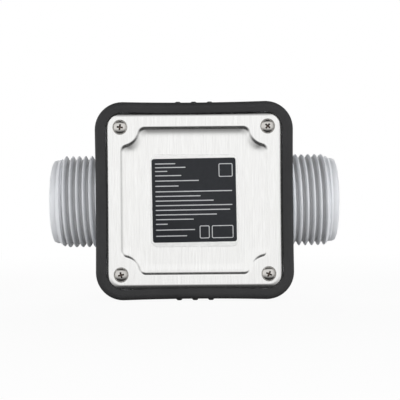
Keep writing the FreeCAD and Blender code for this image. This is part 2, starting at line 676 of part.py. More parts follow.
def cut_thread(body, port, sign, full_height, seat, crest):
    # a right-handed groove wound in from the nose as far as the collar; its section is
    # drawn at the top of the port, half a turn's width in front of the first crest
    start = f"({full_height} - {crest} + 1.5 * thread_pitch)"
    floor = "thread_flat / 2"
    mouth = "(thread_pitch - thread_flat) / 2"
    above = "overlap / 2"
    slope = f"({mouth} + {above} * tan(thread_flank))"
    section_sketch = side(body, f"{port}ThreadSection")
    polygon(section_sketch,
            [(signed(sign, f"{start} + {slope}"), f"thread_major / 2 + {above}"),
             (signed(sign, f"{start} + {floor}"), f"{THREAD_ROOT} / 2"),
             (signed(sign, f"{start} - {floor}"), f"{THREAD_ROOT} / 2"),
             (signed(sign, f"{start} - {slope}"), f"thread_major / 2 + {above}")])
    doc.recompute()
    before = body.Shape.Volume
    winding = body.newObject("PartDesign::SubtractiveHelix", f"{port}Thread")
    winding.Profile = section_sketch
    winding.ReferenceAxis = (origin_feature(body, "X_Axis"), [""])
    winding.Mode = "pitch-height-angle"
    winding.setExpression("Pitch", bound("thread_pitch"))
    winding.setExpression("Height", bound(f"{start} - {seat} - {mouth} - overlap / 2"))
    winding.Reversed = sign > 0
    section_sketch.Visibility = False
    doc.recompute()
    if body.Shape.Volume >= before:
        raise RuntimeError(f"housing: the thread of the {port.lower()} cut nothing")


# ------------------------------------------------------------ rubber boot
def make_boot():
    body = new_body("protective_boot")
    depth = f"({BOOT_BACK} + {BOOT_FRONT})"

    outline = plan(body, "BootOutline", BOOT_FRONT)
    dipped_square(outline, BOOT_SIDE, "boot_corner", "boot_dip")
    pad(body, "BootBlock", outline, depth)
    ends = (value(BOOT_FRONT), -value(BOOT_BACK))
    chamfer(body, "OuterEdges", "boot_edge",
           lambda edge: any(lies_at(edge, 1, end) for end in ends))

    # grip ribs across the top and the bottom
    rib_length = f"({depth} - 2 * rib_margin)"
    for place, sign, height in (("Top", 1, "rib_top"), ("Bottom", -1, "rib_bottom")):
        first = "-(rib_count - 1) * rib_pitch / 2"
        foot = f"{BOOT_SIDE} / 2 - overlap"
        rib = plan(body, f"{place}RibOutline", f"{BOOT_FRONT} - rib_margin")
        crest = f"{BOOT_SIDE} / 2 + {height}"
        polygon(rib, [(f"{first} - rib_width / 2", signed(sign, foot)),
                      (f"{first} + rib_width / 2", signed(sign, foot)),
                      (f"{first} + rib_flat / 2", signed(sign, crest)),
                      (f"{first} - rib_flat / 2", signed(sign, crest))])
        one = pad(body, f"{place}Rib", rib, rib_length)
        pattern(body, f"{place}Ribs", "LinearPattern", [one],
                Direction=(origin_feature(body, "X_Axis"), [""]),
                Length="(rib_count - 1) * rib_pitch", Occurrences="rib_count")

    cavity = plan(body, "CavityOutline", f"-{BLOCK_BACK} - boot_gap")
    around = "(block_side + 2 * boot_gap)"
    rounded_rectangle(cavity, around, around, "block_corner + boot_gap")
    pocket(body, "Cavity", cavity, f"{BLOCK_BACK} + boot_gap + {SHOULDER_FACE}")

    back = plan(body, "BackOpeningOutline", f"-{BOOT_BACK}")
    rounded_rectangle(back, BACK_OPENING, BACK_OPENING,
                      "plate_corner + back_lip_gap")
    pocket(body, "BackOpening", back, f"{BOOT_BACK} - {BLOCK_BACK} + overrun")

    front = plan(body, "FrontOpeningOutline", BOOT_FRONT)
    rounded_rectangle(front, FRONT_OPENING, FRONT_OPENING,
                      "cover_panel_corner + cover_panel_gap")
    pocket(body, "FrontOpening", front, f"{BOOT_FRONT} - {SHOULDER_FACE} + overrun",
           towards_back=True)

    ports = section(body, "PortHoleOutline")
    circle(ports, f"{COLLAR} + 2 * port_gap")
    pocket(body, "PortHoles", ports, f"2 * {BOOT_SIDE}", both_ways=True)

    limit = value(BACK_OPENING) / 2 + 0.05
    chamfer(body, "LipBevels", "lip_bevel",
            lambda edge: any(lies_at(edge, 1, end) for end in ends) and
            within(edge, limit))
    return body


# ------------------------------------------------------------ stamped back plate
def make_rear_plate():
    body = new_body("rear_plate")
    face = f"-{PLATE_FACE}"
    skirt_back = f"(plate_skirt - {PLATE_FACE})"

    outline = plan(body, "PlateOutline", skirt_back)
    rounded_rectangle(outline, PLATE_SIDE, PLATE_SIDE, "plate_corner")
    pad(body, "Plate", outline, "plate_skirt")
    fillet(body, "RolledEdge", "plate_roll",
           lambda edge: lies_at(edge, 1, value(face)))

    inside = f"({PLATE_SIDE} - 2 * sheet)"
    hollow = plan(body, "HollowOutline", skirt_back)
    rounded_rectangle(hollow, inside, inside, "plate_corner - sheet")
    pocket(body, "Hollow", hollow, "plate_skirt - sheet", towards_back=True)

    # the pressed field: a pan on the inside, then the same shape sunk from outside
    pan_front = f"(field_depth + sheet - {PLATE_FACE})"
    pan = plan(body, "PanOutline", pan_front)
    notched_square(pan, f"{SCREW_SPACING} + 2 * sheet", "field_notch", "field_round + sheet")
    pad(body, "Pan", pan, "field_depth + sheet / 2")

    field = plan(body, "FieldOutline", face)
    notched_square(field, SCREW_SPACING, "field_notch", "field_round")
    pocket(body, "Field", field, "field_depth")
    floor = value(f"field_depth - {PLATE_FACE}")
    chamfer(body, "FieldEdges", "field_edge",
            lambda edge: within(edge, value(SCREW_SPACING) / 2 + 0.01) and
            (lies_at(edge, 1, value(face)) or lies_at(edge, 1, floor)))

    # a shallow cone pressed in under each screw head
    backs = plan(body, "DimpleBackOutline", f"(dimple_depth + sheet - {PLATE_FACE})")
    screw_circles(backs, "dimple")
    pad(body, "DimpleBacks", backs, "dimple_depth + sheet / 2")
    dimples = plan(body, "DimpleOutline", face)
    screw_circles(dimples, "dimple")
    slope = "-atan((dimple - dimple_floor) / 2 / dimple_depth)"
    pocket(body, "Dimples", dimples, "dimple_depth", taper=slope)

    holes = plan(body, "HoleOutline", face)
    screw_circles(holes, "screw_hole")
    pocket(body, "Holes", holes, "3 * plate_skirt")
    return body


def make_gasket(label, at, thickness, outer, corner, inner, inner_corner):
    # a flat frame with an eyelet round each screw
    body = new_body(label)
    outline = plan(body, "Outline", at)
    rounded_rectangle(outline, outer, outer, corner)
    pad(body, "Sheet", outline, thickness)
    window = plan(body, "WindowOutline", at)
    notched_square(window, inner, inner_corner, "field_round")
    pocket(body, "Window", window, thickness, towards_back=True)
    return body


def make_rear_gasket():
    inner = f"({SCREW_SPACING} + 2 * sheet + 2 * gasket_gap)"
    body = make_gasket("rear_gasket", f"-{BLOCK_BACK}", "cover_gasket",
                       f"{PLATE_SIDE} - 2 * sheet - 2 * gasket_inset",
                       "plate_corner - sheet - gasket_inset", inner, "field_notch")
    holes = plan(body, "HoleOutline", f"-{BLOCK_BACK}")
    screw_circles(holes, "dimple + 2 * gasket_gap")
    pocket(body, "Holes", holes, "cover_gasket", towards_back=True)
    return body


def make_front_gasket():
    body = make_gasket("front_gasket", COVER_BACK, "cover_gasket",
                       "block_side - 2 * gasket_inset", "block_corner - gasket_inset",
                       "block_side - 2 * block_wall", f"(block_side - {SCREW_SPACING}) / 2")
    holes = plan(body, "HoleOutline", COVER_BACK)
    screw_circles(holes, "screw_hole")
    pocket(body, "Holes", holes, "cover_gasket", towards_back=True)
    return body


def make_label():
    body = new_body("rating_label")
    outline = plan(body, "LabelOutline", f"(field_depth - {PLATE_FACE})")
    rounded_rectangle(outline, "label_width", "label_height", "label_corner")
    pad(body, "Label", outline, "label_thickness")
    return body


# ------------------------------------------------------------ screws and inserts
def turned(label, x, y, z, profile, spin=0.0):
    # a piece turned about its own Z axis, laid along the meter's depth with its +Z
    # towards the display, at a place measured from the flow axis
    body = new_body(label)
    body.setExpression(".Placement.Base.x", bound(x))
    body.setExpression(".Placement.Base.y", bound(f"{AXIS_Y} + {y}"))
    body.setExpression(".Placement.Base.z", bound(f"{AXIS_Z} + {z}"))
    lay = FreeCAD.Rotation(Vector(1, 0, 0), -90)
    turn = FreeCAD.Rotation(Vector(0, 0, 1), spin)
    body.Placement.Rotation = lay.multiply(turn)
    sketch = new_sketch(body, "Profile", "XZ_Plane", "0")
    polygon(sketch, profile)
    revolve(body, "Turned", sketch, "Z_Axis")
    doc.recompute()
    return body


def make_screws():
    turns = {("left", "upper"): 8.0, ("right", "upper"): 35.0,
             ("left", "lower"): -12.0, ("right", "lower"): 20.0}
    for across, level, sign_x, sign_z in CORNERS:
        profile = [("0", "-screw_head_height"),
                   ("screw_head / 2 - screw_head_crown", "-screw_head_height"),
                   ("screw_head / 2", "-screw_head_height / 2"), ("screw_head / 2", "0"),
                   ("screw / 2", "0"), ("screw / 2", SCREW_LENGTH),
                   ("0", SCREW_LENGTH)]
        body = turned(f"{level}_{across}_screw", signed(sign_x, f"{SCREW_SPACING} / 2"),
                      f"(-{DIMPLE_FACE})", signed(sign_z, f"({SCREW_SPACING} / 2)"),
                      profile, turns[across, level])
        cross = new_sketch(body, "CrossOutline", "XY_Plane", "-screw_head_height")
        wide, span = "cross_width / 2", "cross_span / 2"
        corners = []
        for a, b, sx, sy in (("s", "w", 1, 1), ("w", "w", 1, 1), ("w", "s", 1, 1),
                             ("w", "s", -1, 1), ("w", "w", -1, 1), ("s", "w", -1, 1),
                             ("s", "w", -1, -1), ("w", "w", -1, -1), ("w", "s", -1, -1),
                             ("w", "s", 1, -1), ("w", "w", 1, -1), ("s", "w", 1, -1)):
            x = signed(sx, span if a == "s" else wide)
            y = signed(sy, span if b == "s" else wide)
            corners.append((x, y))
        polygon(cross, corners)
        pocket(body, "Cross", cross, "cross_depth", towards_back=True)


def make_inserts():
    for across, level, sign_x, sign_z in CORNERS:
        turned(f"{level}_{across}_insert", signed(sign_x, f"{SCREW_SPACING} / 2"),
               COVER_BACK, signed(sign_z, f"({SCREW_SPACING} / 2)"),
               [("screw / 2", "0"), ("insert / 2", "0"),
                ("insert / 2", "insert_length"), ("screw / 2", "insert_length")])


# ------------------------------------------------------------ display cover
def button_centres():
    return [("reset", "-button_spacing / 2"), ("calibration", "button_spacing / 2")]


def make_front_cover():
    body = new_body("front_cover")
    outline = plan(body, "CoverOutline", SHOULDER_FACE)
    rounded_rectangle(outline, "block_side", "block_side", "block_corner")
    pad(body, "Cover", outline, f"{SHOULDER_FACE} - {COVER_BACK}")

    panel_side = f"({FRONT_OPENING} - 2 * cover_panel_gap)"
    panel = plan(body, "PanelOutline", COVER_FACE)
    rounded_rectangle(panel, panel_side, panel_side, "cover_panel_corner")
    pad(body, "RaisedPanel", panel, "panel_rise + overlap")

    inside = "(block_side - 2 * cover_wall)"
    hollow = plan(body, "HollowOutline", COVER_BACK)
    rounded_rectangle(hollow, inside, inside, "block_corner - cover_wall")
    pocket(body, "Hollow", hollow, f"{COVER_INSIDE} - {COVER_BACK}")

    bosses = plan(body, "BossOutline", f"{COVER_INSIDE} + cover_skin / 2")
    screw_circles(bosses, "cover_boss")
    pad(body, "Bosses", bosses, f"{COVER_INSIDE} + cover_skin / 2 - {COVER_BACK}")

    sleeves = plan(body, "SleeveOutline", f"{COVER_INSIDE} + cover_skin / 2")
    for _, x in button_centres():
        circle(sleeves, "button_hole + 2 * sleeve_wall", x, "-button_drop")
    pad(body, "Sleeves", sleeves, "sleeve_depth + cover_skin / 2")

    window = plan(body, "WindowOutline", COVER_FACE)
    rounded_rectangle(window, "window_width", "window_height", "window_corner",
                      "0", "window_rise")
    pocket(body, "WindowOpening", window, "cover_skin + overrun", towards_back=True)

    holes = plan(body, "ButtonHoleOutline", COVER_FACE)
    for _, x in button_centres():
        circle(holes, "button_hole", x, "-button_drop")
    pocket(body, "ButtonHoles", holes, "cover_skin + sleeve_depth + overrun",
           towards_back=True)

    seats = plan(body, "InsertOutline", COVER_BACK)
    screw_circles(seats, "insert")
    pocket(body, "InsertSeats", seats, "insert_pocket")

    face = value(COVER_FACE)
    chamfer(body, "PanelEdge", "cover_edge",
            lambda edge: lies_at(edge, 1, face) and
            not within(edge, value(panel_side) / 2 - 0.1))
    top = value("window_rise + window_height / 2 + window_bevel")
    bottom = value("window_rise - window_height / 2 - window_bevel")
    chamfer(body, "WindowBevel", "window_bevel",
            lambda edge: lies_at(edge, 1, face) and edge.BoundBox.ZMin > bottom and
            edge.BoundBox.ZMax < top)
    return body


def make_window():
    body = new_body("display_window")
    rim = plan(body, "RimOutline", COVER_INSIDE)
    rounded_rectangle(rim, "window_width + 2 * window_ledge",
                      "window_height + 2 * window_ledge", "window_corner",
                      "0", "window_rise")
    pad(body, "Rim", rim, "window_rim")
    pane = plan(body, "PaneOutline", f"{COVER_FACE} - window_inset")
    rounded_rectangle(pane, "window_width - 2 * window_gap",
                      "window_height - 2 * window_gap", "window_corner - window_gap",
                      "0", "window_rise")
    pad(body, "Pane", pane, "cover_skin - window_inset + window_rim / 2")
    return body


def make_display():
    frame = new_body("lcd_frame")
    outline = plan(frame, "FrameOutline", WINDOW_BACK)
    rounded_rectangle(outline, "window_width + 2 * window_ledge",
                      "window_height + 2 * window_ledge", "window_corner",
                      "0", "window_rise")
    pad(frame, "Frame", outline, f"{WINDOW_BACK} - {BOARD_FRONT}")
    width = "(window_width + 2 * window_ledge - 2 * frame_wall)"
    height = "(window_height + 2 * window_ledge - 2 * frame_wall)"
    seat = plan(frame, "GlassSeatOutline", BOARD_FRONT)
    rounded_rectangle(seat, width, height, "window_corner - frame_wall",
                      "0", "window_rise")
    pocket(frame, "GlassSeat", seat, f"{GLASS_FRONT} - {BOARD_FRONT}")
    view = plan(frame, "ViewOutline", WINDOW_BACK)
    rounded_rectangle(view, f"{width} - 2 * frame_lip_width",
                      f"{height} - 2 * frame_lip_width", "window_corner / 2",
                      "0", "window_rise")
    pocket(frame, "View", view, "frame_lip + overrun", towards_back=True)

    glass = new_body("lcd_glass")
    sheets = plan(glass, "GlassOutline", GLASS_FRONT)
    rectangle(sheets, f"-{GLASS_WIDTH} / 2", f"window_rise - {GLASS_HEIGHT} / 2",
              f"{GLASS_WIDTH} / 2", f"window_rise + {GLASS_HEIGHT} / 2")
    pad(glass, "Glass", sheets, "glass_thickness")

    for level, sign in (("upper", 1), ("lower", -1)):
        strip = new_body(f"lcd_{level}_contact_strip")
        outline = plan(strip, "StripOutline", f"{GLASS_FRONT} - glass_thickness")
        outer = f"({GLASS_HEIGHT} / 2 - strip_inset)"
        inner = f"({outer} - strip_width)"
        length = f"({GLASS_WIDTH} / 2 - strip_margin)"
        rectangle(outline, f"-{length}", f"window_rise + {signed(sign, inner)}",
                  length, f"window_rise + {signed(sign, outer)}")
        pad(strip, "Strip", outline, f"{GLASS_FRONT} - glass_thickness - {BOARD_FRONT}")


def make_board():
    body = new_body("circuit_board")
    outline = plan(body, "BoardOutline", BOARD_FRONT)
    half, cut = f"({BOARD_SIDE} / 2)", f"({BOARD_SIDE} / 2 - board_chamfer)"
    corners = []
    for sx, sy, order in ((1, -1, 0), (1, 1, 1), (-1, 1, 0), (-1, -1, 1)):
        pair = [(signed(sx, cut), signed(sy, half)), (signed(sx, half), signed(sy, cut))]
        corners += pair if order == 0 else pair[::-1]
    polygon(outline, corners)
    pad(body, "Board", outline, "board_thickness")
    return body


def make_switches():
    for name, x in button_centres():
        body = new_body(f"{name}_switch")
        base = plan(body, "SwitchOutline", f"{BOARD_FRONT} + switch_height")
        rectangle(base, f"{x} - switch_side / 2", "-button_drop - switch_side / 2",
                  f"{x} + switch_side / 2", "-button_drop + switch_side / 2")
        pad(body, "Switch", base, "switch_height")
        plunger = plan(body, "PlungerOutline", SWITCH_TOP)
        circle(plunger, "plunger", x, "-button_drop")
        pad(body, "Plunger", plunger, "plunger_height + overlap")


def make_buttons():
    # each button's own origin is at the front of its flange; a square-section ring in a
    # groove round it seals it in its hole
    cap = "(button_hole - 2 * button_gap)"
    ring_outside = "(button_hole - 2 * ring_gap)"
    groove_floor = f"({ring_outside} / 2 - ring_section)"
    ring_place = f"({COVER_FACE} - ring_depth - {FLANGE_FRONT})"
    top = f"({COVER_FACE} + button_proud - {FLANGE_FRONT})"
    for name, x in button_centres():
        stem_end = f"({SWITCH_TOP} + stem_gap - {FLANGE_FRONT})"
        body = turned(f"{name}_button", x, FLANGE_FRONT, "(-button_drop)",
                      [("0", stem_end), ("stem / 2", stem_end),
                       ("stem / 2", "-flange_thickness"),
                       ("flange / 2", "-flange_thickness"), ("flange / 2", "0"),
                       (f"{cap} / 2", "0"),
                       (f"{cap} / 2", f"{ring_place} - ring_section / 2"),
                       (groove_floor, f"{ring_place} - ring_section / 2"),
                       (groove_floor, f"{ring_place} + ring_section / 2"),
                       (f"{cap} / 2", f"{ring_place} + ring_section / 2"),
                       (f"{cap} / 2", f"{top} - button_edge"),
                       (f"{cap} / 2 - button_edge", top), ("0", f"{top} - button_dish")])

        turned(f"{name}_button_ring", x, f"({COVER_FACE} - ring_depth)", "(-button_drop)",
               [(groove_floor, "-ring_section / 2"),
                (f"{ring_outside} / 2", "-ring_section / 2"),
                (f"{ring_outside} / 2", "ring_section / 2"),
                (groove_floor, "ring_section / 2")])


# ------------------------------------------------------------ cells and contacts
def make_power():
    # the lower cell lies the other way round, so its spring is at the other end
    for level, sign in (("upper", 1), ("lower", -1)):
        rise = signed(sign, CELL_RISE)
        cell = new_body(f"{level}_battery")
        cell.setExpression(".Placement.Base.y", bound(f"{AXIS_Y} - {CELL_BACK}"))
        cell.setExpression(".Placement.Base.z", bound(f"{AXIS_Z} + {rise}"))
        cell.Placement.Rotation = FreeCAD.Rotation(Vector(0, 0, 1), 0 if sign > 0 else 180)
        profile = side(cell, "CellProfile")
        shoulder = "-(cell_length / 2 - cell_button_height)"
        polygon(profile, [("cell_length / 2", "0"), ("cell_length / 2", "cell / 2"),
                          (shoulder, "cell / 2"), (shoulder, "cell_button / 2"),
                          ("-cell_length / 2", "cell_button / 2"),
                          ("-cell_length / 2", "0")])
        revolve(cell, "Cell", profile)

        plate = new_body(f"{level}_battery_contact")
        outline = section(plate, "ContactOutline",
                          signed(-sign, "(cell_length / 2 + contact_sheet / 2)"))
        half = "contact_side / 2"
        rectangle(outline, f"-{CELL_BACK} - {half}", f"{rise} - {half}",
                  f"-{CELL_BACK} + {half}", f"{rise} + {half}")
        pad(plate, "Contact", outline, "contact_sheet", both_ways=True)

        make_spring(level, sign, rise)


def make_spring(level, sign, rise):
    # a leaf spring: a flat foot on the side wall, bent over at the back so that its
    # tongue leans on the cell's flat end
    spring = new_body(f"{level}_battery_spring")
    spring.setExpression(".Placement.Base.z", bound(f"{AXIS_Z} + {rise}"))
    spring.Placement.Rotation = FreeCAD.Rotation(Vector(0, 1, 0), 0 if sign > 0 else 180)
    wall, cell_end = "(block_side / 2 - block_wall)", "(cell_length / 2)"
    back = f"-({CELL_BACK} + contact_side / 2)"
    front = f"-({CELL_BACK} - contact_side / 2)"
    touch = f"-({CELL_BACK} - contact_side / 4)"
    leaf = new_sketch(spring, "LeafProfile", "XY_Plane", "-contact_side / 2")
    polygon(leaf, [(wall, front), (wall, back), (f"{wall} - 2 * contact_sheet", back),
                   (cell_end, touch), (f"{cell_end} + 2 * contact_sheet", front),
                   (f"{cell_end} + 3 * contact_sheet", front),
                   (f"{cell_end} + 1.2 * contact_sheet", touch),
                   (f"{wall} - 2 * contact_sheet", f"{back} + 1.5 * contact_sheet"),
                   (f"{wall} - contact_sheet", f"{back} + 1.5 * contact_sheet"),
                   (f"{wall} - contact_sheet", front)])
    pad(spring, "Leaf", leaf, "contact_side")


# ------------------------------------------------------------ rotor
def make_rotor():
    body = new_body("turbine_rotor")
    hub = side(body, "HubProfile")
    end = "(rotor_hub_length / 2)"
    half = [(end, "shaft_diameter / 2"), *rounded_off(end, "rotor_hub / 2", "rotor_nose")]
    polygon(hub, half + [(f"-({x})", radius) for x, radius in reversed(half)])
    revolve(body, "Hub", hub)

    # one blade: a tapered section at each end, the second turned by the blade angle
    stations = 2
    sections = []
    for step in range(stations):
        share = step / (stations - 1) - 0.5
        station = section(body, f"BladeSection{step + 1}", f"{share} * {BLADE_LENGTH}")
        station.setExpression(".AttachmentOffset.Rotation.Angle",
                              bound(f"{share} * blade_angle"))
        root, tip = "(rotor_hub / 2 - overrun)", "(bore / 2 + overrun)"
        polygon(station, [(root, "-blade_root / 2"), (tip, "-blade_tip / 2"),
                          (tip, "blade_tip / 2"), (root, "blade_root / 2")])
        sections.append(station)
    blade = body.newObject("PartDesign::AdditiveLoft", "Blade")
    blade.Profile = sections[0]
    blade.Sections = sections[1:]
    pattern(body, "Blades", "PolarPattern", [blade],
            Axis=(origin_feature(body, "X_Axis"), [""]), Angle=360.0,
            Occurrences="blade_count")

    trim = side(body, "TipProfile")
    rectangle(trim, f"-{BLADE_LENGTH}", "bore / 2 - tip_gap",
              BLADE_LENGTH, "bore / 2 + 3 * overrun")
    groove(body, "BladeTips", trim)

    pockets = new_sketch(body, "MagnetOutline", "XY_Plane", "0")
    circle(pockets, "magnet")
    pocket(body, "MagnetPockets", pockets, "rotor_hub", both_ways=True)
    return body


def make_shaft_and_magnets():
    shaft = new_body("rotor_shaft")
    profile = side(shaft, "ShaftProfile")
    end = "(shaft_length / 2)"
    half = [(end, "0"), (end, "shaft_diameter / 2 - shaft_bevel"),
            (f"{end} - shaft_bevel", "shaft_diameter / 2")]
    polygon(profile, half + [(f"-({x})", radius) for x, radius in reversed(half)])
    revolve(shaft, "Shaft", profile)
    for level, sign in (("upper", 1), ("lower", -1)):
        magnet = doc.addObject("Part::Cylinder", f"{level}_rotor_magnet")
        magnet.Label = f"{level}_rotor_magnet"
        magnet.setExpression("Radius", bound("magnet / 2"))
        magnet.setExpression("Height", bound("magnet_length"))
        magnet.setExpression(".Placement.Base.y", bound(AXIS_Y))
        base = f"{AXIS_Z} + rotor_hub / 2 - magnet_depth - magnet_length"
        if sign < 0:
            base = f"{AXIS_Z} - rotor_hub / 2 + magnet_depth"
        magnet.setExpression(".Placement.Base.z", bound(base))


# ------------------------------------------------------------ straighteners
def make_flow_insert(name, sign):
    # drawn for the +X port; the one at the other port is the same piece turned round
    def place(body):
        body.Placement.Rotation = FreeCAD.Rotation(Vector(0, 0, 1), 0 if sign > 0 else 180)

    body = new_body(f"{name}_straightener")
    place(body)
    outside = f"({SOCKET} / 2 - ring_fit)"
    ring_end = f"({SHOULDER} + straightener_length)"
    nose_end = f"({ring_end} + vane_inset)"
    ring = side(body, "RingProfile")
    rectangle(ring, SHOULDER, f"{outside} - ring_wall", ring_end, outside)
    revolve(body, "Ring", ring)

    vane = section(body, "VaneOutline", f"{SHOULDER} + vane_inset")
    rectangle(vane, "straightener_hub / 4", "-vane_thickness / 2",
              f"{outside} - ring_wall / 2", "vane_thickness / 2")
    one = pad(body, "Vane", vane, "straightener_length - 2 * vane_inset")
    pattern(body, "Vanes", "PolarPattern", [one],
            Axis=(origin_feature(body, "X_Axis"), [""]), Angle=360.0,
            Occurrences="vane_count")

    hub = side(body, "HubProfile")
    nose = "straightener_nose"
    points = [(STRAIGHTENER_FACE, "0"), (STRAIGHTENER_FACE, "straightener_hub / 2"),
              (f"{nose_end} - {nose}", "straightener_hub / 2")]
    for turn in (30, 50, 70):
        points.append((f"{nose_end} - {nose} * (1 - sin({turn}))",
                       f"straightener_hub / 2 * cos({turn})"))
    points.append((nose_end, "0"))
    polygon(hub, points)
    revolve(body, "Hub", hub)

    seat = side(body, "BearingSeatProfile")
    past = "(shaft_length / 2 + shaft_relief)"
    relief = "(shaft_diameter / 2 + shaft_room)"
    polygon(seat, [(f"{STRAIGHTENER_FACE} - overrun", "0"),
                   (f"{STRAIGHTENER_FACE} - overrun", "bush_diameter / 2"),
                   (f"{STRAIGHTENER_FACE} + bearing_length", "bush_diameter / 2"),
                   (f"{STRAIGHTENER_FACE} + bearing_length", relief),
                   (past, relief), (past, "0")])
    groove(body, "BearingSeat", seat)

    bush = new_body(f"{name}_bearing")
    place(bush)
    profile = side(bush, "BushProfile")
    rectangle(profile, STRAIGHTENER_FACE, "shaft_diameter / 2 + bearing_fit",
              f"{STRAIGHTENER_FACE} + bearing_length", "bush_diameter / 2")
    revolve(bush, "Bush", profile)

    # an inside retaining ring, slit at the top with a lug each side of the slit
    ring = new_body(f"{name}_retaining_ring")
    place(ring)
    outline = section(ring, "RingOutline", RETAINER_START)
    circle(outline, f"{SOCKET} + 2 * retainer_bite")
    circle(outline, f"{SOCKET} - 2 * retainer_cover")
    pad(ring, "Ring", outline, "retainer_thickness")
    lugs = section(ring, "LugOutline", RETAINER_START)
    lug_x = "(retainer_slit / 2 + retainer_lug / 2)"
    lug_round = f"({SOCKET} / 2 + retainer_bite - retainer_lug / 2 - lug_inset)"
    lug_z = f"sqrt({lug_round} * {lug_round} - {lug_x} * {lug_x})"
    for side_sign in (1, -1):
        circle(lugs, "retainer_lug", signed(side_sign, lug_x), lug_z)
    pad(ring, "Lugs", lugs, "retainer_thickness")
    slit = section(ring, "SlitOutline", RETAINER_START)
    rectangle(slit, "-retainer_slit / 2", f"{SOCKET} / 4",
              "retainer_slit / 2", SOCKET)
    pocket(ring, "Slit", slit, "retainer_thickness", towards_back=True)
    eyes = section(ring, "EyeOutline", RETAINER_START)
    for side_sign in (1, -1):
        circle(eyes, "retainer_eye", signed(side_sign, lug_x), lug_z)
    pocket(ring, "Eyes", eyes, "retainer_thickness", towards_back=True)


# ------------------------------------------------------------ pulse sensors
def make_sensors():
    for name, sign in (("first", 1), ("second", -1)):
        body = new_body(f"{name}_pulse_sensor")
        body.setExpression(".Placement.Base.y", bound(f"{AXIS_Y} + {BOARD_BACK} - reed_drop"))
        body.setExpression(".Placement.Base.z",
                           bound(f"{AXIS_Z} + {signed(sign, 'reed_spacing / 2')}"))
        profile = side(body, "ReedProfile")
        half = [("reed_reach / 2", "0"), ("reed_reach / 2", "reed_wire / 2"),
                ("reed_length / 2", "reed_wire / 2"),
                ("reed_length / 2 - reed_seal", "reed / 2")]
        polygon(profile, half + [(f"-({x})", radius) for x, radius in reversed(half)])
        revolve(body, "Reed", profile)
        legs = plan(body, "LegOutline", "0")
        for leg in (1, -1):
            circle(legs, "reed_wire", signed(leg, "(reed_reach / 2 - reed_wire / 2)"))
        pad(body, "Legs", legs, "reed_drop", towards_front=True)


make_housing()
make_boot()
make_rear_plate()
make_rear_gasket()
make_label()
make_screws()
make_inserts()
make_front_gasket()
make_front_cover()
make_window()
make_display()
make_board()
make_switches()
make_buttons()
make_power()
make_rotor()
make_shaft_and_magnets()
make_flow_insert("inlet", -1)
make_flow_insert("outlet", 1)
make_sensors()
doc.recompute()

pieces = [item for item in doc.Objects
          if item.TypeId in ("PartDesign::Body", "Part::Cylinder")]
faults = []
for item in doc.Objects:
    if "Invalid" in item.State or "Error" in item.State:
        faults.append(f"{item.Name}: {item.State}")
for piece in pieces:
    if piece.Shape.isNull() or not piece.Shape.isValid():
        faults.append(f"{piece.Label}: no valid shape")
    elif len(piece.Shape.Solids) != 1:
        faults.append(f"{piece.Label}: {len(piece.Shape.Solids)} solids")
if faults:
    raise RuntimeError("; ".join(faults))

os.makedirs("parts", exist_ok=True)
for piece in pieces:
    piece.Shape.exportStep(f"parts/{piece.Label}.step")
print(f"{len(pieces)} pieces")
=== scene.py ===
import bpy
import json
import math
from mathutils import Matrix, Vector
from mathutils.geometry import delaunay_2d_cdt

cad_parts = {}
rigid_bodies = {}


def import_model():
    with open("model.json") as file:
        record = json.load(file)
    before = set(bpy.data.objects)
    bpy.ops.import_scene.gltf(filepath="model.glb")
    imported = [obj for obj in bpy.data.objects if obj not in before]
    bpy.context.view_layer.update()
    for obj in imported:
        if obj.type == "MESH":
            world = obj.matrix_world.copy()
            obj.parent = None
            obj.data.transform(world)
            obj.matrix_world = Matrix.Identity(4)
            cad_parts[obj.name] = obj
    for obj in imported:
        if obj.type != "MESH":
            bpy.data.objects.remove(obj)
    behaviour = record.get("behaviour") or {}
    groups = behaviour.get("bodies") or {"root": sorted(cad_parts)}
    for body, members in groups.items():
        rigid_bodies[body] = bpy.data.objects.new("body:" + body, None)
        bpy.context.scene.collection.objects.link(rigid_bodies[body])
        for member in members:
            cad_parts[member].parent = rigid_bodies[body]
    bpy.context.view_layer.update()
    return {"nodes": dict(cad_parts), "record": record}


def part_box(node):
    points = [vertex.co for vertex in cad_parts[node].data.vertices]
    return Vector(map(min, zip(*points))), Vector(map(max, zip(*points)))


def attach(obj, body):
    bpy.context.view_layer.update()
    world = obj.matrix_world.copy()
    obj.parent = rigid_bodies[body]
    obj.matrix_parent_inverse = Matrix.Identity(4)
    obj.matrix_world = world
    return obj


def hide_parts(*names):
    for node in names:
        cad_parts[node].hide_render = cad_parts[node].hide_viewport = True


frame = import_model()
mm = 0.001
near = 0.02 * mm

# The ports run along X, the steel plate faces -Y, the display faces +Y and Z is up.
plateLow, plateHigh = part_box("rear_plate")
rotorLow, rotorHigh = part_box("turbine_rotor")
axisY = (rotorLow.y + rotorHigh.y) / 2
axisZ = (plateLow.z + plateHigh.z) / 2
axis = Vector((0, axisY, axisZ))


# ---- selecting and shaping ----

def deselectAll():
    if bpy.context.object and bpy.context.object.mode != "OBJECT":
        bpy.ops.object.mode_set(mode="OBJECT")
    bpy.ops.object.select_all(action="DESELECT")


def pickObject(piece):
    deselectAll()
    piece.select_set(True)
    bpy.context.view_layer.objects.active = piece


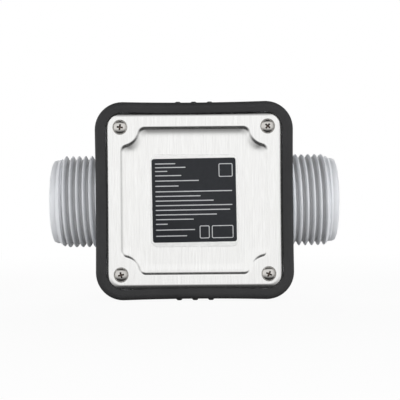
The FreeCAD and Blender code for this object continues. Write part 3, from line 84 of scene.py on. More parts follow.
def pick(piece, kind, wanted):
    # leaves edit mode on, with just the verts, edges or faces that pass the test selected
    pickObject(piece)
    bpy.ops.object.mode_set(mode="EDIT")
    bpy.ops.mesh.select_mode(type=kind)
    bpy.ops.mesh.select_all(action="DESELECT")
    bpy.ops.object.mode_set(mode="OBJECT")
    mesh = piece.data
    parts = {"VERT": mesh.vertices, "EDGE": mesh.edges, "FACE": mesh.polygons}[kind]
    count = 0
    for part in parts:
        if kind == "VERT":
            hit = wanted(part.co)
        elif kind == "EDGE":
            hit = wanted(*(mesh.vertices[v].co for v in part.vertices))
        else:
            hit = wanted(part.center, part.normal)
        part.select = bool(hit)
        count += bool(hit)
    bpy.ops.object.mode_set(mode="EDIT")
    return count


def leaveEdit():
    bpy.ops.object.mode_set(mode="OBJECT")


def editAll(piece):
    pickObject(piece)
    bpy.ops.object.mode_set(mode="EDIT")
    bpy.ops.mesh.select_all(action="SELECT")


def inPlane(y):
    # a test for edges that lie in one plane across Y
    return lambda a, b: abs(a.y - y) < near and abs(b.y - y) < near


def edgeKey(a, b):
    return frozenset((tuple(round(c * 1e7) for c in a), tuple(round(c * 1e7) for c in b)))


def openBorder(piece):
    # the edges that have only one face
    uses = {}
    for face in piece.data.polygons:
        for key in face.edge_keys:
            uses[key] = uses.get(key, 0) + 1
    points = piece.data.vertices
    return {edgeKey(points[a].co, points[b].co) for (a, b), count in uses.items() if count == 1}


def loopsOf(piece):
    # the open border as closed runs of points
    beside = {}
    for key in openBorder(piece):
        a, b = tuple(key)
        beside.setdefault(a, []).append(b)
        beside.setdefault(b, []).append(a)
    loops = []
    left = set(beside)
    while left:
        run = [left.pop()]
        while True:
            ahead = [spot for spot in beside[run[-1]] if spot in left]
            if not ahead:
                break
            run.append(ahead[0])
            left.discard(ahead[0])
        loops.append([Vector(c / 1e7 for c in spot) for spot in run])
    return loops


def settle(piece):
    # its place goes into the mesh, so that the object sits at the origin
    pickObject(piece)
    bpy.ops.object.transform_apply(location=True, rotation=True, scale=True)


def outwards(piece):
    editAll(piece)
    bpy.ops.mesh.normals_make_consistent(inside=False)
    leaveEdit()


def smooth(piece, degrees=35):
    pickObject(piece)
    bpy.ops.object.shade_smooth_by_angle(angle=math.radians(degrees))


def easeEdges(piece, width, segments=2, degrees=32):
    pickObject(piece)
    bevel = piece.modifiers.new("ease", "BEVEL")
    bevel.width = width
    bevel.segments = segments
    bevel.limit_method = "ANGLE"
    bevel.angle_limit = math.radians(degrees)
    bevel.harden_normals = False
    bpy.ops.object.modifier_apply(modifier=bevel.name)


def cutWith(piece, cutter):
    pickObject(piece)
    cut = piece.modifiers.new("cut", "BOOLEAN")
    cut.operation = "DIFFERENCE"
    cut.solver = "EXACT"
    cut.object = cutter
    bpy.ops.object.modifier_apply(modifier=cut.name)
    bpy.data.objects.remove(cutter)


def cadCopy(node, name):
    # the node's own shape as one welded mesh, ready to be worked on
    pickObject(frame["nodes"][node])
    bpy.ops.object.duplicate()
    piece = bpy.context.object
    piece.name = name
    for key in list(piece.keys()):
        if key.startswith("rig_"):
            del piece[key]
    bpy.ops.object.parent_clear(type="CLEAR_KEEP_TRANSFORM")
    editAll(piece)
    bpy.ops.mesh.customdata_custom_splitnormals_clear()
    bpy.ops.mesh.remove_doubles(threshold=2e-6)
    bpy.ops.mesh.dissolve_limited(angle_limit=math.radians(0.6))
    leaveEdit()
    return piece


def clad(piece, finish, body, *nodes, slot=None):
    # puts the finish on, sets the piece riding and hides the solids that it stands for
    piece.data.materials.clear()
    piece.data.materials.append(finish)
    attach(piece, body)
    if nodes:
        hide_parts(*nodes)


bodyOf = {node: body for body, nodes in frame["record"]["behaviour"]["bodies"].items()
          for node in nodes}
slotOf = {entry["node"]: entry["material_slot"] for entry in frame["record"]["subparts"]}


def dress(node, finish, ease=0.0, segments=2, degrees=32):
    # a welded, smoothed copy of a solid whose shape is right as it is
    words = node.split("_")
    piece = cadCopy(node, words[0] + "".join(word.title() for word in words[1:]))
    if ease:
        easeEdges(piece, ease, segments, degrees)
    smooth(piece)
    clad(piece, finish, bodyOf[node], node, slot=slotOf[node])
    return piece


def coat(node, finish):
    # an inner solid keeps its mesh and takes a better finish
    solid = frame["nodes"][node]
    solid.data.materials.clear()
    solid.data.materials.append(finish)


# ---- finishes ----

class Signal:
    # a socket that can stand in a sum
    def __init__(self, finish, socket):
        self.finish = finish
        self.socket = socket

    def __add__(self, other):
        return self.finish.sum("ADD", self, other)

    def __radd__(self, other):
        return self.finish.sum("ADD", other, self)

    def __sub__(self, other):
        return self.finish.sum("SUBTRACT", self, other)

    def __rsub__(self, other):
        return self.finish.sum("SUBTRACT", other, self)

    def __mul__(self, other):
        return self.finish.sum("MULTIPLY", self, other)

    def __rmul__(self, other):
        return self.finish.sum("MULTIPLY", other, self)

    def __abs__(self):
        return self.finish.sum("ABSOLUTE", self)

    def __lt__(self, other):
        return self.finish.sum("LESS_THAN", self, other)

    def most(self, other):
        return self.finish.sum("MAXIMUM", self, other)

    def root(self):
        return self.finish.sum("SQRT", self)


class Finish:
    def __init__(self, name, target=None):
        self.data = target or bpy.data.materials.new(name)
        self.data.use_nodes = True
        self.tree = self.data.node_tree
        self.tree.nodes.clear()

    def node(self, kind, settings=None, out=0, **sockets):
        # any node: its settings first, then the values or links of its sockets
        made = self.tree.nodes.new("ShaderNode" + kind)
        for key, setting in (settings or {}).items():
            if key == "stops":
                ramp = made.color_ramp
                while len(ramp.elements) < len(setting):
                    ramp.elements.new(0.5)
                for element, (place, colour) in zip(ramp.elements, setting):
                    element.position = place
                    element.color = (*colour, 1)
            else:
                setattr(made, key, setting)
        for key, value in sockets.items():
            socket = self.socketOf(made, key)
            if isinstance(value, Signal):
                self.tree.links.new(value.socket, socket)
            elif value is not None:
                socket.default_value = value
        return Signal(self, made.outputs[out]) if len(made.outputs) else None

    def socketOf(self, made, key):
        if key[0] == "n" and key[1:].isdigit():
            return made.inputs[int(key[1:])]
        return made.inputs[key.replace("_", " ")]

    def sum(self, operation, first, second=None):
        return self.node("Math", {"operation": operation}, n0=first, n1=second)

    def place(self, scale=(1, 1, 1)):
        here = self.node("TexCoord", out=3)
        return self.node("Mapping", Vector=here, Scale=scale)

    def xyz(self):
        here = self.node("TexCoord", out=3)
        return [self.node("SeparateXYZ", out=k, Vector=here) for k in range(3)]

    def noise(self, scale, detail=3.0, roughness=0.5, where=None):
        return self.node("TexNoise", Vector=where or self.place(), Scale=scale,
                         Detail=detail, Roughness=roughness)

    def spread(self, signal, low, high, fromLow=0.3, fromHigh=0.7):
        return self.node("MapRange", n0=signal, n1=fromLow, n2=fromHigh, n3=low, n4=high)

    def blend(self, factor, first, second):
        made = self.tree.nodes.new("ShaderNodeMix")
        made.data_type = "RGBA"
        for socket, value in ((made.inputs[0], factor), (made.inputs[6], first),
                              (made.inputs[7], second)):
            if isinstance(value, Signal):
                self.tree.links.new(value.socket, socket)
            else:
                socket.default_value = value
        return Signal(self, made.outputs[2])

    def bump(self, height, strength, distance, normal=None):
        return self.node("Bump", Height=height, Strength=strength, Distance=distance,
                         Normal=normal)

    def surface(self, **sockets):
        shader = self.node("BsdfPrincipled", **sockets)
        self.node("OutputMaterial", Surface=shader)
        return self.data


def plastic(name, colour, rough, grain=0.00002, scale=2600, drift=0.08):
    # moulded plastic: a fine spark-eroded grain, slow drifts of tone, scuffs in the gloss
    f = Finish(name)
    cloud = f.noise(45, 3, 0.6)
    fine = f.noise(scale, 2, 0.6)
    dark = tuple(c * (1 - drift) for c in colour[:3]) + (1,)
    pale = tuple(min(1, c * (1 + drift)) for c in colour[:3]) + (1,)
    tone = f.blend(f.spread(cloud, 0, 1), dark, pale)
    scuff = f.noise(160, 4, 0.7, f.place(scale=(1, 1, 0.25)))
    sheen = f.spread(scuff, rough - 0.05, rough + 0.08)
    return f.surface(Base_Color=tone, Roughness=sheen, Normal=f.bump(fine, 0.35, grain))


def rubberFinish():
    # dull black rubber with a dusty bloom and fine pitting
    f = Finish("bootRubber")
    bloom = f.noise(38, 5, 0.65)
    specks = f.noise(1500, 2, 0.5)
    tone = f.blend(f.spread(bloom, 0, 1), (0.024, 0.024, 0.025, 1), (0.04, 0.04, 0.041, 1))
    dust = f.spread(specks, 0, 1, 0.66, 0.78) * f.spread(bloom, 0, 0.35)
    tone = f.blend(dust, tone, (0.06, 0.06, 0.06, 1))
    pits = f.noise(2400, 3, 0.6)
    swell = f.noise(120, 2, 0.5)
    relief = f.bump(pits, 0.4, 0.00003, f.bump(swell, 0.25, 0.0002))
    return f.surface(Base_Color=tone, Roughness=f.spread(bloom, 0.58, 0.7), Normal=relief,
                     Specular_IOR_Level=0.3)


def brushedFinish():
    # bright stainless sheet, brushed up and down: long streaks in Z, fine steps in X
    f = Finish("brushedSheet")
    long = f.noise(1, 2, 0.5, f.place(scale=(7000, 900, 60)))
    short = f.noise(1, 3, 0.6, f.place(scale=(4200, 700, 210)))
    wide = f.noise(1, 2, 0.5, f.place(scale=(800, 120, 16)))
    streak = long * 0.4 + short * 0.5 + wide * 0.1
    tone = f.blend(f.spread(streak, 0, 1, 0.34, 0.66), (0.87, 0.866, 0.853, 1),
                   (0.97, 0.97, 0.96, 1))
    rough = f.spread(streak, 0.25, 0.21, 0.35, 0.65)
    return f.surface(Base_Color=tone, Metallic=1.0, Roughness=rough,
                     Normal=f.bump(streak, 0.12, 0.000008))


def steelFinish(name, colour, rough, scale=900):
    # drawn or turned steel with fine marks and a little haze
    f = Finish(name)
    marks = f.noise(scale, 3, 0.6)
    haze = f.noise(90, 3, 0.6)
    dark = tuple(c * 0.8 for c in colour) + (1,)
    tone = f.blend(f.spread(haze, 0, 1), dark, colour + (1,))
    return f.surface(Base_Color=tone, Metallic=1.0,
                     Roughness=f.spread(marks, rough - 0.06, rough + 0.1),
                     Normal=f.bump(marks, 0.25, 0.00001))


def portFinish():
    # grey moulded polyamide, with painted shade darkening the thread's grooves towards their
    # root
    f = Finish("portPolyamide")
    px, py, pz = f.xyz()
    dy, dz = py - axisY, pz - axisZ
    radius = (dy * dy + dz * dz).root()
    root, major = thread["rootRadius"], thread["majorRadius"]
    low = f.node("MapRange", {"interpolation_type": "SMOOTHSTEP"}, n0=radius,
                 n1=root + 0.1 * mm, n2=major - 0.25 * mm, n3=1.0, n4=0.0)
    threaded = abs(px) < thread["fullHeight"] + 0.1 * mm
    cloud = f.noise(45, 3, 0.6)
    fine = f.noise(2600, 2, 0.6)
    tone = f.blend(f.spread(cloud, 0, 1), (0.69, 0.705, 0.735, 1), (0.74, 0.755, 0.78, 1))
    # painted shade: how far the thread's grooves are darkened towards their root
    grooveShade = 0.62
    tone = f.blend(low * threaded * grooveShade, tone, (0.2, 0.2, 0.205, 1))
    sheen = f.spread(f.noise(160, 4, 0.7), 0.36, 0.48)
    return f.surface(Base_Color=tone, Roughness=sheen, Normal=f.bump(fine, 0.3, 0.00002))


bootRubber = rubberFinish()
brushedSheet = brushedFinish()
screwSteel = steelFinish("screwSteel", (0.72, 0.7, 0.67), 0.13)
# painted shade: a dark brownish steel for the faces inside the screws' cross recess
recessShadeSteel = steelFinish("recessShadeSteel", (0.13, 0.1, 0.085), 0.4)
springSteel = steelFinish("springSteel", (0.66, 0.65, 0.63), 0.3)
shaftSteel = steelFinish("shaftSteel", (0.72, 0.72, 0.72), 0.16, 2600)
insertBrass = steelFinish("insertBrass", (0.78, 0.58, 0.28), 0.3)
cellWrap = plastic("cellWrap", (0.2, 0.22, 0.24, 1), 0.3, drift=0.12)
coverBlack = plastic("coverPlastic", (0.045, 0.046, 0.049, 1), 0.5, 0.00004, 1700)
innerBlack = plastic("innerPlastic", (0.03, 0.03, 0.032, 1), 0.45)
keyGrey = plastic("keyPlastic", (0.2, 0.205, 0.215, 1), 0.42)
vanePlastic = plastic("vanePolyamide", (0.05, 0.052, 0.056, 1), 0.4)
rotorPlastic = plastic("rotorAcetal", (0.68, 0.69, 0.66, 1), 0.32, drift=0.04)
bushPlastic = plastic("bushPlastic", (0.36, 0.2, 0.08, 1), 0.35)
ferrite = plastic("ferrite", (0.05, 0.05, 0.054, 1), 0.55)
sealRubber = plastic("sealRubber", (0.02, 0.02, 0.021, 1), 0.62)
stripRubber = plastic("stripRubber", (0.32, 0.25, 0.28, 1), 0.6)
boardGreen = plastic("boardLaminate", (0.03, 0.16, 0.07, 1), 0.3)


def windowFinish():
    f = Finish("windowPane")
    smear = f.noise(70, 3, 0.6)
    return f.surface(Base_Color=(0.95, 0.97, 0.97, 1), Roughness=f.spread(smear, 0.03, 0.09),
                     Transmission_Weight=1.0, IOR=1.49,
                     Normal=f.bump(smear, 0.05, 0.00002))


def displayFinish():
    # a switched-off liquid-crystal glass: grey-green, with a slow drift of tone
    f = Finish("displayGlass")
    haze = f.noise(60, 2, 0.5)
    tone = f.blend(f.spread(haze, 0, 1), (0.30, 0.34, 0.27, 1), (0.36, 0.40, 0.32, 1))
    return f.surface(Base_Color=tone, Roughness=f.spread(haze, 0.1, 0.2))


def reedFinish():
    f = Finish("reedGlass")
    tint = f.noise(200, 2, 0.5)
    tone = f.blend(f.spread(tint, 0, 1), (0.25, 0.45, 0.32, 1), (0.4, 0.6, 0.46, 1))
    return f.surface(Base_Color=tone, Roughness=f.spread(tint, 0.08, 0.15))


windowPane = windowFinish()
displayGlass = displayFinish()
reedGlass = reedFinish()
print("finishes ready")


# ---- ports: the housing with a rounded pipe thread ----

thread = {"majorRadius": 16.6245 * mm, "rootRadius": 15.1455 * mm, "noseRadius": 15.0955 * mm,
          "pitch": 25.4 * mm / 11, "crestFlat": 0.2 * mm, "rounding": 0.55,
          "collarFace": 34.3 * mm, "fullHeight": 46.8 * mm, "noseStart": 48.7 * mm,
          "columns": 16, "stepsPerTurn": 80, "sunk": 0.02 * mm, "bandEnd": 49.3 * mm,
          # how much wider than the band the housing is turned down to make room for it
          "cutPast": 0.2 * mm, "cutUnder": 0.3 * mm, "cutOver": 3 * mm,
          "firstCrest": {"inlet": -46.35 * mm, "outlet": 46.02 * mm}}

portGrey = portFinish()


def threadRadius(x, offCrest):
    # how far out the thread stands, at x along the port and so far from a crest's middle
    s = thread
    half = s["pitch"] / 2 - s["crestFlat"]
    share = min(1.0, max(0.0, (abs(offCrest) - s["crestFlat"] / 2) / half))
    easy = (1 - math.cos(math.pi * share)) / 2
    depth = s["rounding"] * easy + (1 - s["rounding"]) * share
    radius = s["majorRadius"] - depth * (s["majorRadius"] - s["rootRadius"])
    slope = (abs(x) - s["fullHeight"]) / (s["noseStart"] - s["fullHeight"])
    limit = s["majorRadius"] - min(1.0, max(0.0, slope)) * (s["majorRadius"] - s["noseRadius"])
    return min(radius, limit) - (s["sunk"] if slope >= 1 else 0)


def makeThread(port, side):
    # a band one pitch wide, wound right-handed from inside the collar out over the nose
    s = thread
    turns = round((s["noseStart"] - s["collarFace"]) / s["pitch"]) + 2
    steps = turns * s["stepsPerTurn"]
    deselectAll()
    bpy.ops.mesh.primitive_grid_add(x_subdivisions=s["columns"], y_subdivisions=steps, size=1)
    band = bpy.context.object
    band.name = port + "Thread"
    crest = s["firstCrest"][port]
    turnsAhead = 2 if side > 0 else turns - 2
    first = crest - (turns - turnsAhead) * s["pitch"]
    for vertex in band.data.vertices:
        across, along = vertex.co.x, vertex.co.y + 0.5
        wound = along * turns
        x = first + (wound + across) * s["pitch"]
        x = max(-s["bandEnd"], min(s["bandEnd"], x))
        radius = threadRadius(x, across * s["pitch"])
        angle = 2 * math.pi * wound - math.pi / 2
        vertex.co = (x, axisY - radius * math.cos(angle), axisZ - radius * math.sin(angle))
    editAll(band)
    bpy.ops.mesh.remove_doubles(threshold=1e-6)
    leaveEdit()
    outwards(band)
    middle = band.data.polygons[len(band.data.polygons) // 2]
    away = middle.center - Vector((middle.center.x, axisY, axisZ))
    if middle.normal.dot(away) < 0:
        editAll(band)
        bpy.ops.mesh.flip_normals()
        leaveEdit()
    smooth(band, 75)
    return band


def sleeve(start, end, inner, outer):
    # a plain tube along X, used to cut with
    deselectAll()
    place = ((start + end) / 2, axisY, axisZ)
    turn = (0, math.pi / 2, 0)
    length = abs(end - start)
    bpy.ops.mesh.primitive_cylinder_add(vertices=128, radius=outer, depth=length,
                                        location=place, rotation=turn)
    outside = bpy.context.object
    bpy.ops.mesh.primitive_cylinder_add(vertices=128, radius=inner, depth=length * 2,
                                        location=place, rotation=turn)
    cutWith(outside, bpy.context.object)
    return outside


def makePorts():
    s = thread
    body = cadCopy("housing", "housingWithPorts")
    for side in (-1, 1):
        cutWith(body, sleeve(side * s["collarFace"], side * (s["noseStart"] + s["cutPast"]),
                             s["noseRadius"] - s["cutUnder"], s["majorRadius"] + s["cutOver"]))
    easeEdges(body, 0.12 * mm, 2, 40)
    smooth(body, 32)
    clad(body, portGrey, "meter_body", "housing", slot="housing_polyamide")
    for port, side in (("inlet", -1), ("outlet", 1)):
        clad(makeThread(port, side), portGrey, "meter_body", slot="housing_polyamide")


makePorts()
print("ports ready")


# ---- rubber boot ----

boot = {"side": 67.6 * mm, "corner": 9.4 * mm, "cornerSteps": 12,
        # how far the top and bottom, and the two sides, sink back between the corners
        "dip": 0.36 * mm, "sideDip": 0.16 * mm,
        "bowCuts": (-0.75, -0.5, -0.25, 0, 0.25, 0.5, 0.75),
        "edge": 1.7 * mm, "edgeSteps": 4, "lipOuter": 2.05 * mm, "lipInner": 1.55 * mm,
        "lipSlope": 0.35 * mm, "lipDepth": 2.3 * mm, "cavity": 31.3 * mm,
        "frontLip": 3.5 * mm, "frontSlope": 2.0 * mm, "frontDepth": 1.65 * mm,
        "portHole": 18.2 * mm, "outlineBand": 0.9 * mm,
        "ribPitch": 5.5 * mm, "ribFoot": 1.5 * mm, "ribCrest": 0.75 * mm,
        "ribTop": 0.5 * mm, "ribBottom": 0.7 * mm, "ribMargin": 3.0 * mm,
        "ribRoot": 0.6 * mm, "ribTaper": 0.985, "ribEase": 0.3 * mm}


def bootBlock(low, high):
    s = boot
    deselectAll()
    bpy.ops.mesh.primitive_cube_add(size=1, location=(0, (low.y + high.y) / 2, axisZ),
                                    scale=(s["side"], high.y - low.y, s["side"]))
    piece = bpy.context.object
    piece.name = "rubberBoot"
    settle(piece)
    pick(piece, "EDGE", lambda a, b: abs(a.y - b.y) > 20 * mm)
    bpy.ops.mesh.bevel(offset=s["corner"], segments=s["cornerSteps"], profile=0.5)
    leaveEdit()
    return piece


def bowSides(piece):
    # cuts across the flat sides, so that each side can bow in between its corners
    s = boot
    half = s["side"] / 2
    flat = half - s["corner"]
    for share in s["bowCuts"]:
        for place, normal in (((share * flat, 0, 0), (1, 0, 0)),
                              ((0, 0, axisZ + share * flat), (0, 0, 1))):
            pick(piece, "FACE", lambda c, n: True)
            bpy.ops.mesh.bisect(plane_co=place, plane_no=normal)
            leaveEdit()
    # corners stand out and each side sinks back towards its middle
    pick(piece, "VERT", lambda co: True)
    grow = 1 + s["dip"] / half
    bpy.ops.transform.resize(value=(grow, 1, grow), center_override=(0, 0, axisZ))
    leaveEdit()
    reach = half + s["dip"]
    for share in s["bowCuts"]:
        place = share * flat * grow
        sink = s["dip"] * (1 - share * share)
        sideSink = sink * s["sideDip"] / s["dip"]
        for side in (-1, 1):
            pick(piece, "VERT", lambda co: abs(co.x - place) < 0.2 * mm
                 and abs(co.z - axisZ - side * reach) < 0.1 * mm)
            bpy.ops.transform.translate(value=(0, 0, -side * sink))
            leaveEdit()
            pick(piece, "VERT", lambda co: abs(co.z - axisZ - place) < 0.2 * mm
                 and abs(co.x - side * reach) < 0.1 * mm)
            bpy.ops.transform.translate(value=(-side * sideSink, 0, 0))
            leaveEdit()


def openEnds(piece):
    # a lip round each open end: at the back a flat band, then one that slopes in
    s = boot
    pick(piece, "FACE", lambda c, n: n.y < -0.9)
    bpy.ops.mesh.inset(thickness=s["lipOuter"], depth=0)
    bpy.ops.mesh.inset(thickness=s["lipInner"], depth=-s["lipSlope"])
    bpy.ops.mesh.delete(type="FACE")
    leaveEdit()
    pick(piece, "FACE", lambda c, n: n.y > 0.9)
    bpy.ops.mesh.inset(thickness=s["frontSlope"], depth=0)
    bpy.ops.mesh.inset(thickness=s["frontLip"], depth=-s["lipSlope"])
    bpy.ops.mesh.delete(type="FACE")
    leaveEdit()


def lineInside(piece, backY, frontY):
    # in past each lip, out to the cavity, then joined through the block
    s = boot
    for edgeY, depth, side in ((backY + s["lipSlope"], s["lipDepth"] - s["lipSlope"], 1),
                               (frontY - s["lipSlope"], s["frontDepth"], -1)):
        pick(piece, "EDGE", inPlane(edgeY))
        bpy.ops.mesh.extrude_region_move(TRANSFORM_OT_translate={"value": (0, side * depth, 0)})
        leaveEdit()
        rim = edgeY + side * depth
        inner = max(abs(v.co.x) for v in piece.data.vertices if abs(v.co.y - rim) < near)
        grow = s["cavity"] / inner
        pick(piece, "EDGE", inPlane(rim))
        bpy.ops.mesh.extrude_region_move(TRANSFORM_OT_translate={"value": (0, 0, 0)})
        bpy.ops.transform.resize(value=(grow, 1, grow), center_override=(0, 0, axisZ))
        leaveEdit()
    rims = openBorder(piece)
    pick(piece, "EDGE", lambda a, b: edgeKey(a, b) in rims)
    bpy.ops.mesh.bridge_edge_loops()
    leaveEdit()
    outwards(piece)


def makeBoot():
    s = boot
    low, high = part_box("protective_boot")
    piece = bootBlock(low, high)
    bowSides(piece)
    openEnds(piece)
    lineInside(piece, low.y, high.y)

    # rounded outer edges at both ends, and the holes for the ports
    back, front = inPlane(low.y), inPlane(high.y)
    pick(piece, "EDGE", lambda a, b: (back(a, b) or front(a, b))
         and onOutline(a) and onOutline(b))
    bpy.ops.mesh.bevel(offset=s["edge"], segments=s["edgeSteps"], profile=0.5)
    leaveEdit()
    deselectAll()
    bpy.ops.mesh.primitive_cylinder_add(vertices=96, radius=s["portHole"], depth=0.2,
                                        location=tuple(axis), rotation=(0, math.pi / 2, 0))
    cutWith(piece, bpy.context.object)
    smooth(piece, 38)
    clad(piece, bootRubber, "meter_body", "protective_boot", slot="boot_rubber")


def onOutline(co):
    # whether a point lies on the boot's outer outline rather than on its lip
    s = boot
    half = s["side"] / 2
    x, z = abs(co.x), abs(co.z - axisZ)
    centre = half - s["corner"]
    if x > centre and z > centre:
        return math.hypot(x - centre, z - centre) > s["corner"] - s["outlineBand"]
    return max(x, z) > half - s["outlineBand"]


def makeRibs():
    s = boot
    low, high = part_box("protective_boot")
    length = high.y - low.y - 2 * s["ribMargin"]
    half = s["side"] / 2
    ribs = []
    for level, height in ((1, s["ribTop"]), (-1, s["ribBottom"])):
        for step in (-1, 0, 1):
            deselectAll()
            thick = height + s["ribRoot"]
            place = (step * s["ribPitch"], (low.y + high.y) / 2,
                     axisZ + level * (half + height - thick / 2))
            bpy.ops.mesh.primitive_cube_add(size=1, location=place,
                                            scale=(2 * s["ribFoot"], length, thick))
            rib = bpy.context.object
            settle(rib)
            pick(rib, "VERT", lambda co: level * (co.z - place[2]) > 0)
            bpy.ops.transform.resize(value=(s["ribCrest"] / s["ribFoot"], s["ribTaper"], 1),
                                     center_override=place)
            leaveEdit()
            easeEdges(rib, s["ribEase"], 3, 20)
            ribs.append(rib)
    deselectAll()
    for rib in ribs:
        rib.select_set(True)
    bpy.context.view_layer.objects.active = ribs[0]
    bpy.ops.object.join()
    ribs[0].name = "bootRibs"
    settle(ribs[0])
    smooth(ribs[0], 50)
    clad(ribs[0], bootRubber, "meter_body", slot="boot_rubber")


makeBoot()
makeRibs()
print("boot ready")


# ---- back: plate, screws, label ----

label = {"width": 29.0 * mm, "height": 28.9 * mm, "corner": 0.9 * mm,
         "turn": math.radians(0.6), "shiftX": -0.06 * mm, "shiftZ": 0.15 * mm,
         # entry lines that start at the left margin: height above the middle, length
         "rows": [(12.7, 7.0), (11.4, 10.5), (10.1, 4.2), (8.6, 9.0), (6.8, 15.0), (5.0, 8.0),
                  (3.1, 26.4), (1.5, 15.5), (-0.1, 20.0), (-1.7, 26.4), (-3.3, 25.6),
                  (-4.9, 21.0), (-6.5, 13.0), (-8.1, 4.0), (-10.1, 13.4), (-12.2, 10.6)],
         "margin": 13.3, "line": 0.3 * mm, "lineCorner": 0.14 * mm,
         # empty boxes: middle across and up, width, height
         "boxes": [(11.0, 10.2, 4.8, 4.6), (3.4, -11.0, 3.4, 4.4), (9.6, -11.0, 7.4, 4.4)]}


def labelFinish(low, high):
    # a pale film with a dark printed field, set slightly askew, and blank entry lines
    f = Finish("labelFilm")
    s = label
    centre = (low + high) / 2
    px, _, pz = f.xyz()
    x0, z0 = px - (centre.x + s["shiftX"]), pz - (centre.z + s["shiftZ"])
    x = x0 * math.cos(s["turn"]) + z0 * math.sin(s["turn"])
    z = z0 * math.cos(s["turn"]) - x0 * math.sin(s["turn"])

    def outside(width, height, corner, cx=0.0, cz=0.0):
        # distance out of a rounded box, in metres
        dx = (abs(x - cx) - (width / 2 - corner)).most(0)
        dz = (abs(z - cz) - (height / 2 - corner)).most(0)
        return (dx * dx + dz * dz).root() - corner

    def inside(distance, blur=0.06 * mm):
        return f.node("MapRange", n0=distance, n1=-blur, n2=blur, n3=1.0, n4=0.0)

    field = inside(outside(s["width"], s["height"], s["corner"]))
    ink = None
    for cz, width in s["rows"]:
        mark = inside(outside(width * mm, s["line"], s["lineCorner"],
                              (width / 2 - s["margin"]) * mm, cz * mm))
        ink = mark if ink is None else ink.most(mark)
    for cx, cz, width, height in s["boxes"]:
        outer = inside(outside(width * mm, height * mm, 0.5 * mm, cx * mm, cz * mm))
        inner = inside(outside((width - 0.5) * mm, (height - 0.5) * mm, 0.3 * mm,
                               cx * mm, cz * mm))
        ink = ink.most(outer - inner)
    speck = f.noise(900, 3, 0.6)
    paper = f.blend(f.spread(speck, 0, 1), (0.8, 0.8, 0.79, 1), (0.88, 0.88, 0.87, 1))
    black = f.blend(f.spread(speck, 0, 1), (0.010, 0.0115, 0.0145, 1), (0.013, 0.0145, 0.018, 1))
    pale = f.blend(ink * 0.8, black, (0.7, 0.71, 0.73, 1))
    tone = f.blend(field, paper, pale)
    rough = f.spread(f.noise(120, 3, 0.6), 0.32, 0.44)
    return f.surface(Base_Color=tone, Roughness=rough, Specular_IOR_Level=0.3,
                     Normal=f.bump(f.noise(700, 2, 0.5), 0.15, 0.00002))


screw = {"headRadius": 2.35 * mm, "rimHeight": 0.25 * mm, "crown": 1.25 * mm, "rings": 8,
         "shankRadius": 1.5 * mm, "armWidth": 0.8 * mm, "armSpan": 3.0 * mm,
         "recess": 1.2 * mm, "taper": 0.45, "armTaper": 0.55, "domeTurn": 80,
         "turns": {"upper_left": 8, "upper_right": 40, "lower_left": -14, "lower_right": 24}}


def makeScrew(length):
    # a pan-head screw standing on z = 0 with its head up, as one closed turned form
    s = screw
    deselectAll()
    bpy.ops.mesh.primitive_cylinder_add(vertices=64, radius=s["headRadius"],
                                        depth=s["rimHeight"],
                                        location=(0, 0, s["rimHeight"] / 2))
    piece = bpy.context.object
    settle(piece)
    # the crown: rings that close in as they rise
    rise = s["crown"] - s["rimHeight"]
    radius, height = 1.0, 0.0
    pick(piece, "FACE", lambda centre, normal: normal.z > 0.9)
    for step in range(1, s["rings"] + 1):
        angle = math.radians(s["domeTurn"]) * step / s["rings"]
        newRadius, newHeight = math.cos(angle), rise * math.sin(angle)
        bpy.ops.mesh.extrude_region_move(
            TRANSFORM_OT_translate={"value": (0, 0, newHeight - height)})
        shrink = newRadius / radius
        bpy.ops.transform.resize(value=(shrink, shrink, 1), center_override=(0, 0, 0))
        radius, height = newRadius, newHeight
    leaveEdit()
    # the shank, drawn out of the underside
    pick(piece, "FACE", lambda centre, normal: normal.z < -0.9)
    bpy.ops.mesh.inset(thickness=s["headRadius"] - s["shankRadius"], depth=0)
    bpy.ops.mesh.extrude_region_move(TRANSFORM_OT_translate={"value": (0, 0, -length)})
    leaveEdit()
    # the cross recess: two tapering bars sunk into the crown
    for spin in (0, math.pi / 2):
        deselectAll()
        bpy.ops.mesh.primitive_cube_add(size=1, location=(0, 0, s["crown"]),
                                        scale=(s["armSpan"], s["armWidth"], 2 * s["recess"]))
        bar = bpy.context.object
        settle(bar)
        pick(bar, "VERT", lambda co: co.z < s["crown"])
        bpy.ops.transform.resize(value=(s["taper"], s["armTaper"], 1),
                                 center_override=(0, 0, s["crown"]))
        leaveEdit()
        bar.rotation_euler.z = spin
        settle(bar)
        cutWith(piece, bar)
    easeEdges(piece, 0.06 * mm, 2, 40)
    smooth(piece, 40)
    return piece


def inRecess(spot):
    # whether a spot on the screw lies inside the cross, below the dome
    s = screw
    share = math.hypot(spot.x, spot.y) / s["headRadius"]
    if share > 0.99 or spot.z < 0 or share > s["armSpan"] / 2 / s["headRadius"] + 0.02:
        return 0
    dome = s["rimHeight"] + (s["crown"] - s["rimHeight"]) * math.sqrt(1 - share * share)
    return int(spot.z < dome - 0.1 * mm)


def placeScrews():
    s = screw
    low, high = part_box("upper_left_screw")
    master = makeScrew(high.y - low.y - s["crown"])
    sunk = [inRecess(face.center) for face in master.data.polygons]
    for place, spin in s["turns"].items():
        low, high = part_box(place + "_screw")
        pickObject(master)
        bpy.ops.object.duplicate()
        piece = bpy.context.object
        piece.name = place.split("_")[0] + place.split("_")[1].title() + "PanScrew"
        piece.rotation_euler = (math.pi / 2, math.radians(spin), 0)
        piece.location = ((low.x + high.x) / 2, low.y + s["crown"], (low.z + high.z) / 2)
        settle(piece)
        clad(piece, screwSteel, "meter_body", place + "_screw", slot="screw_steel")
        # the faces inside the cross take the painted shade
        piece.data.materials.append(recessShadeSteel)
        piece.data.polygons.foreach_set("material_index", sunk)
    bpy.data.objects.remove(master)


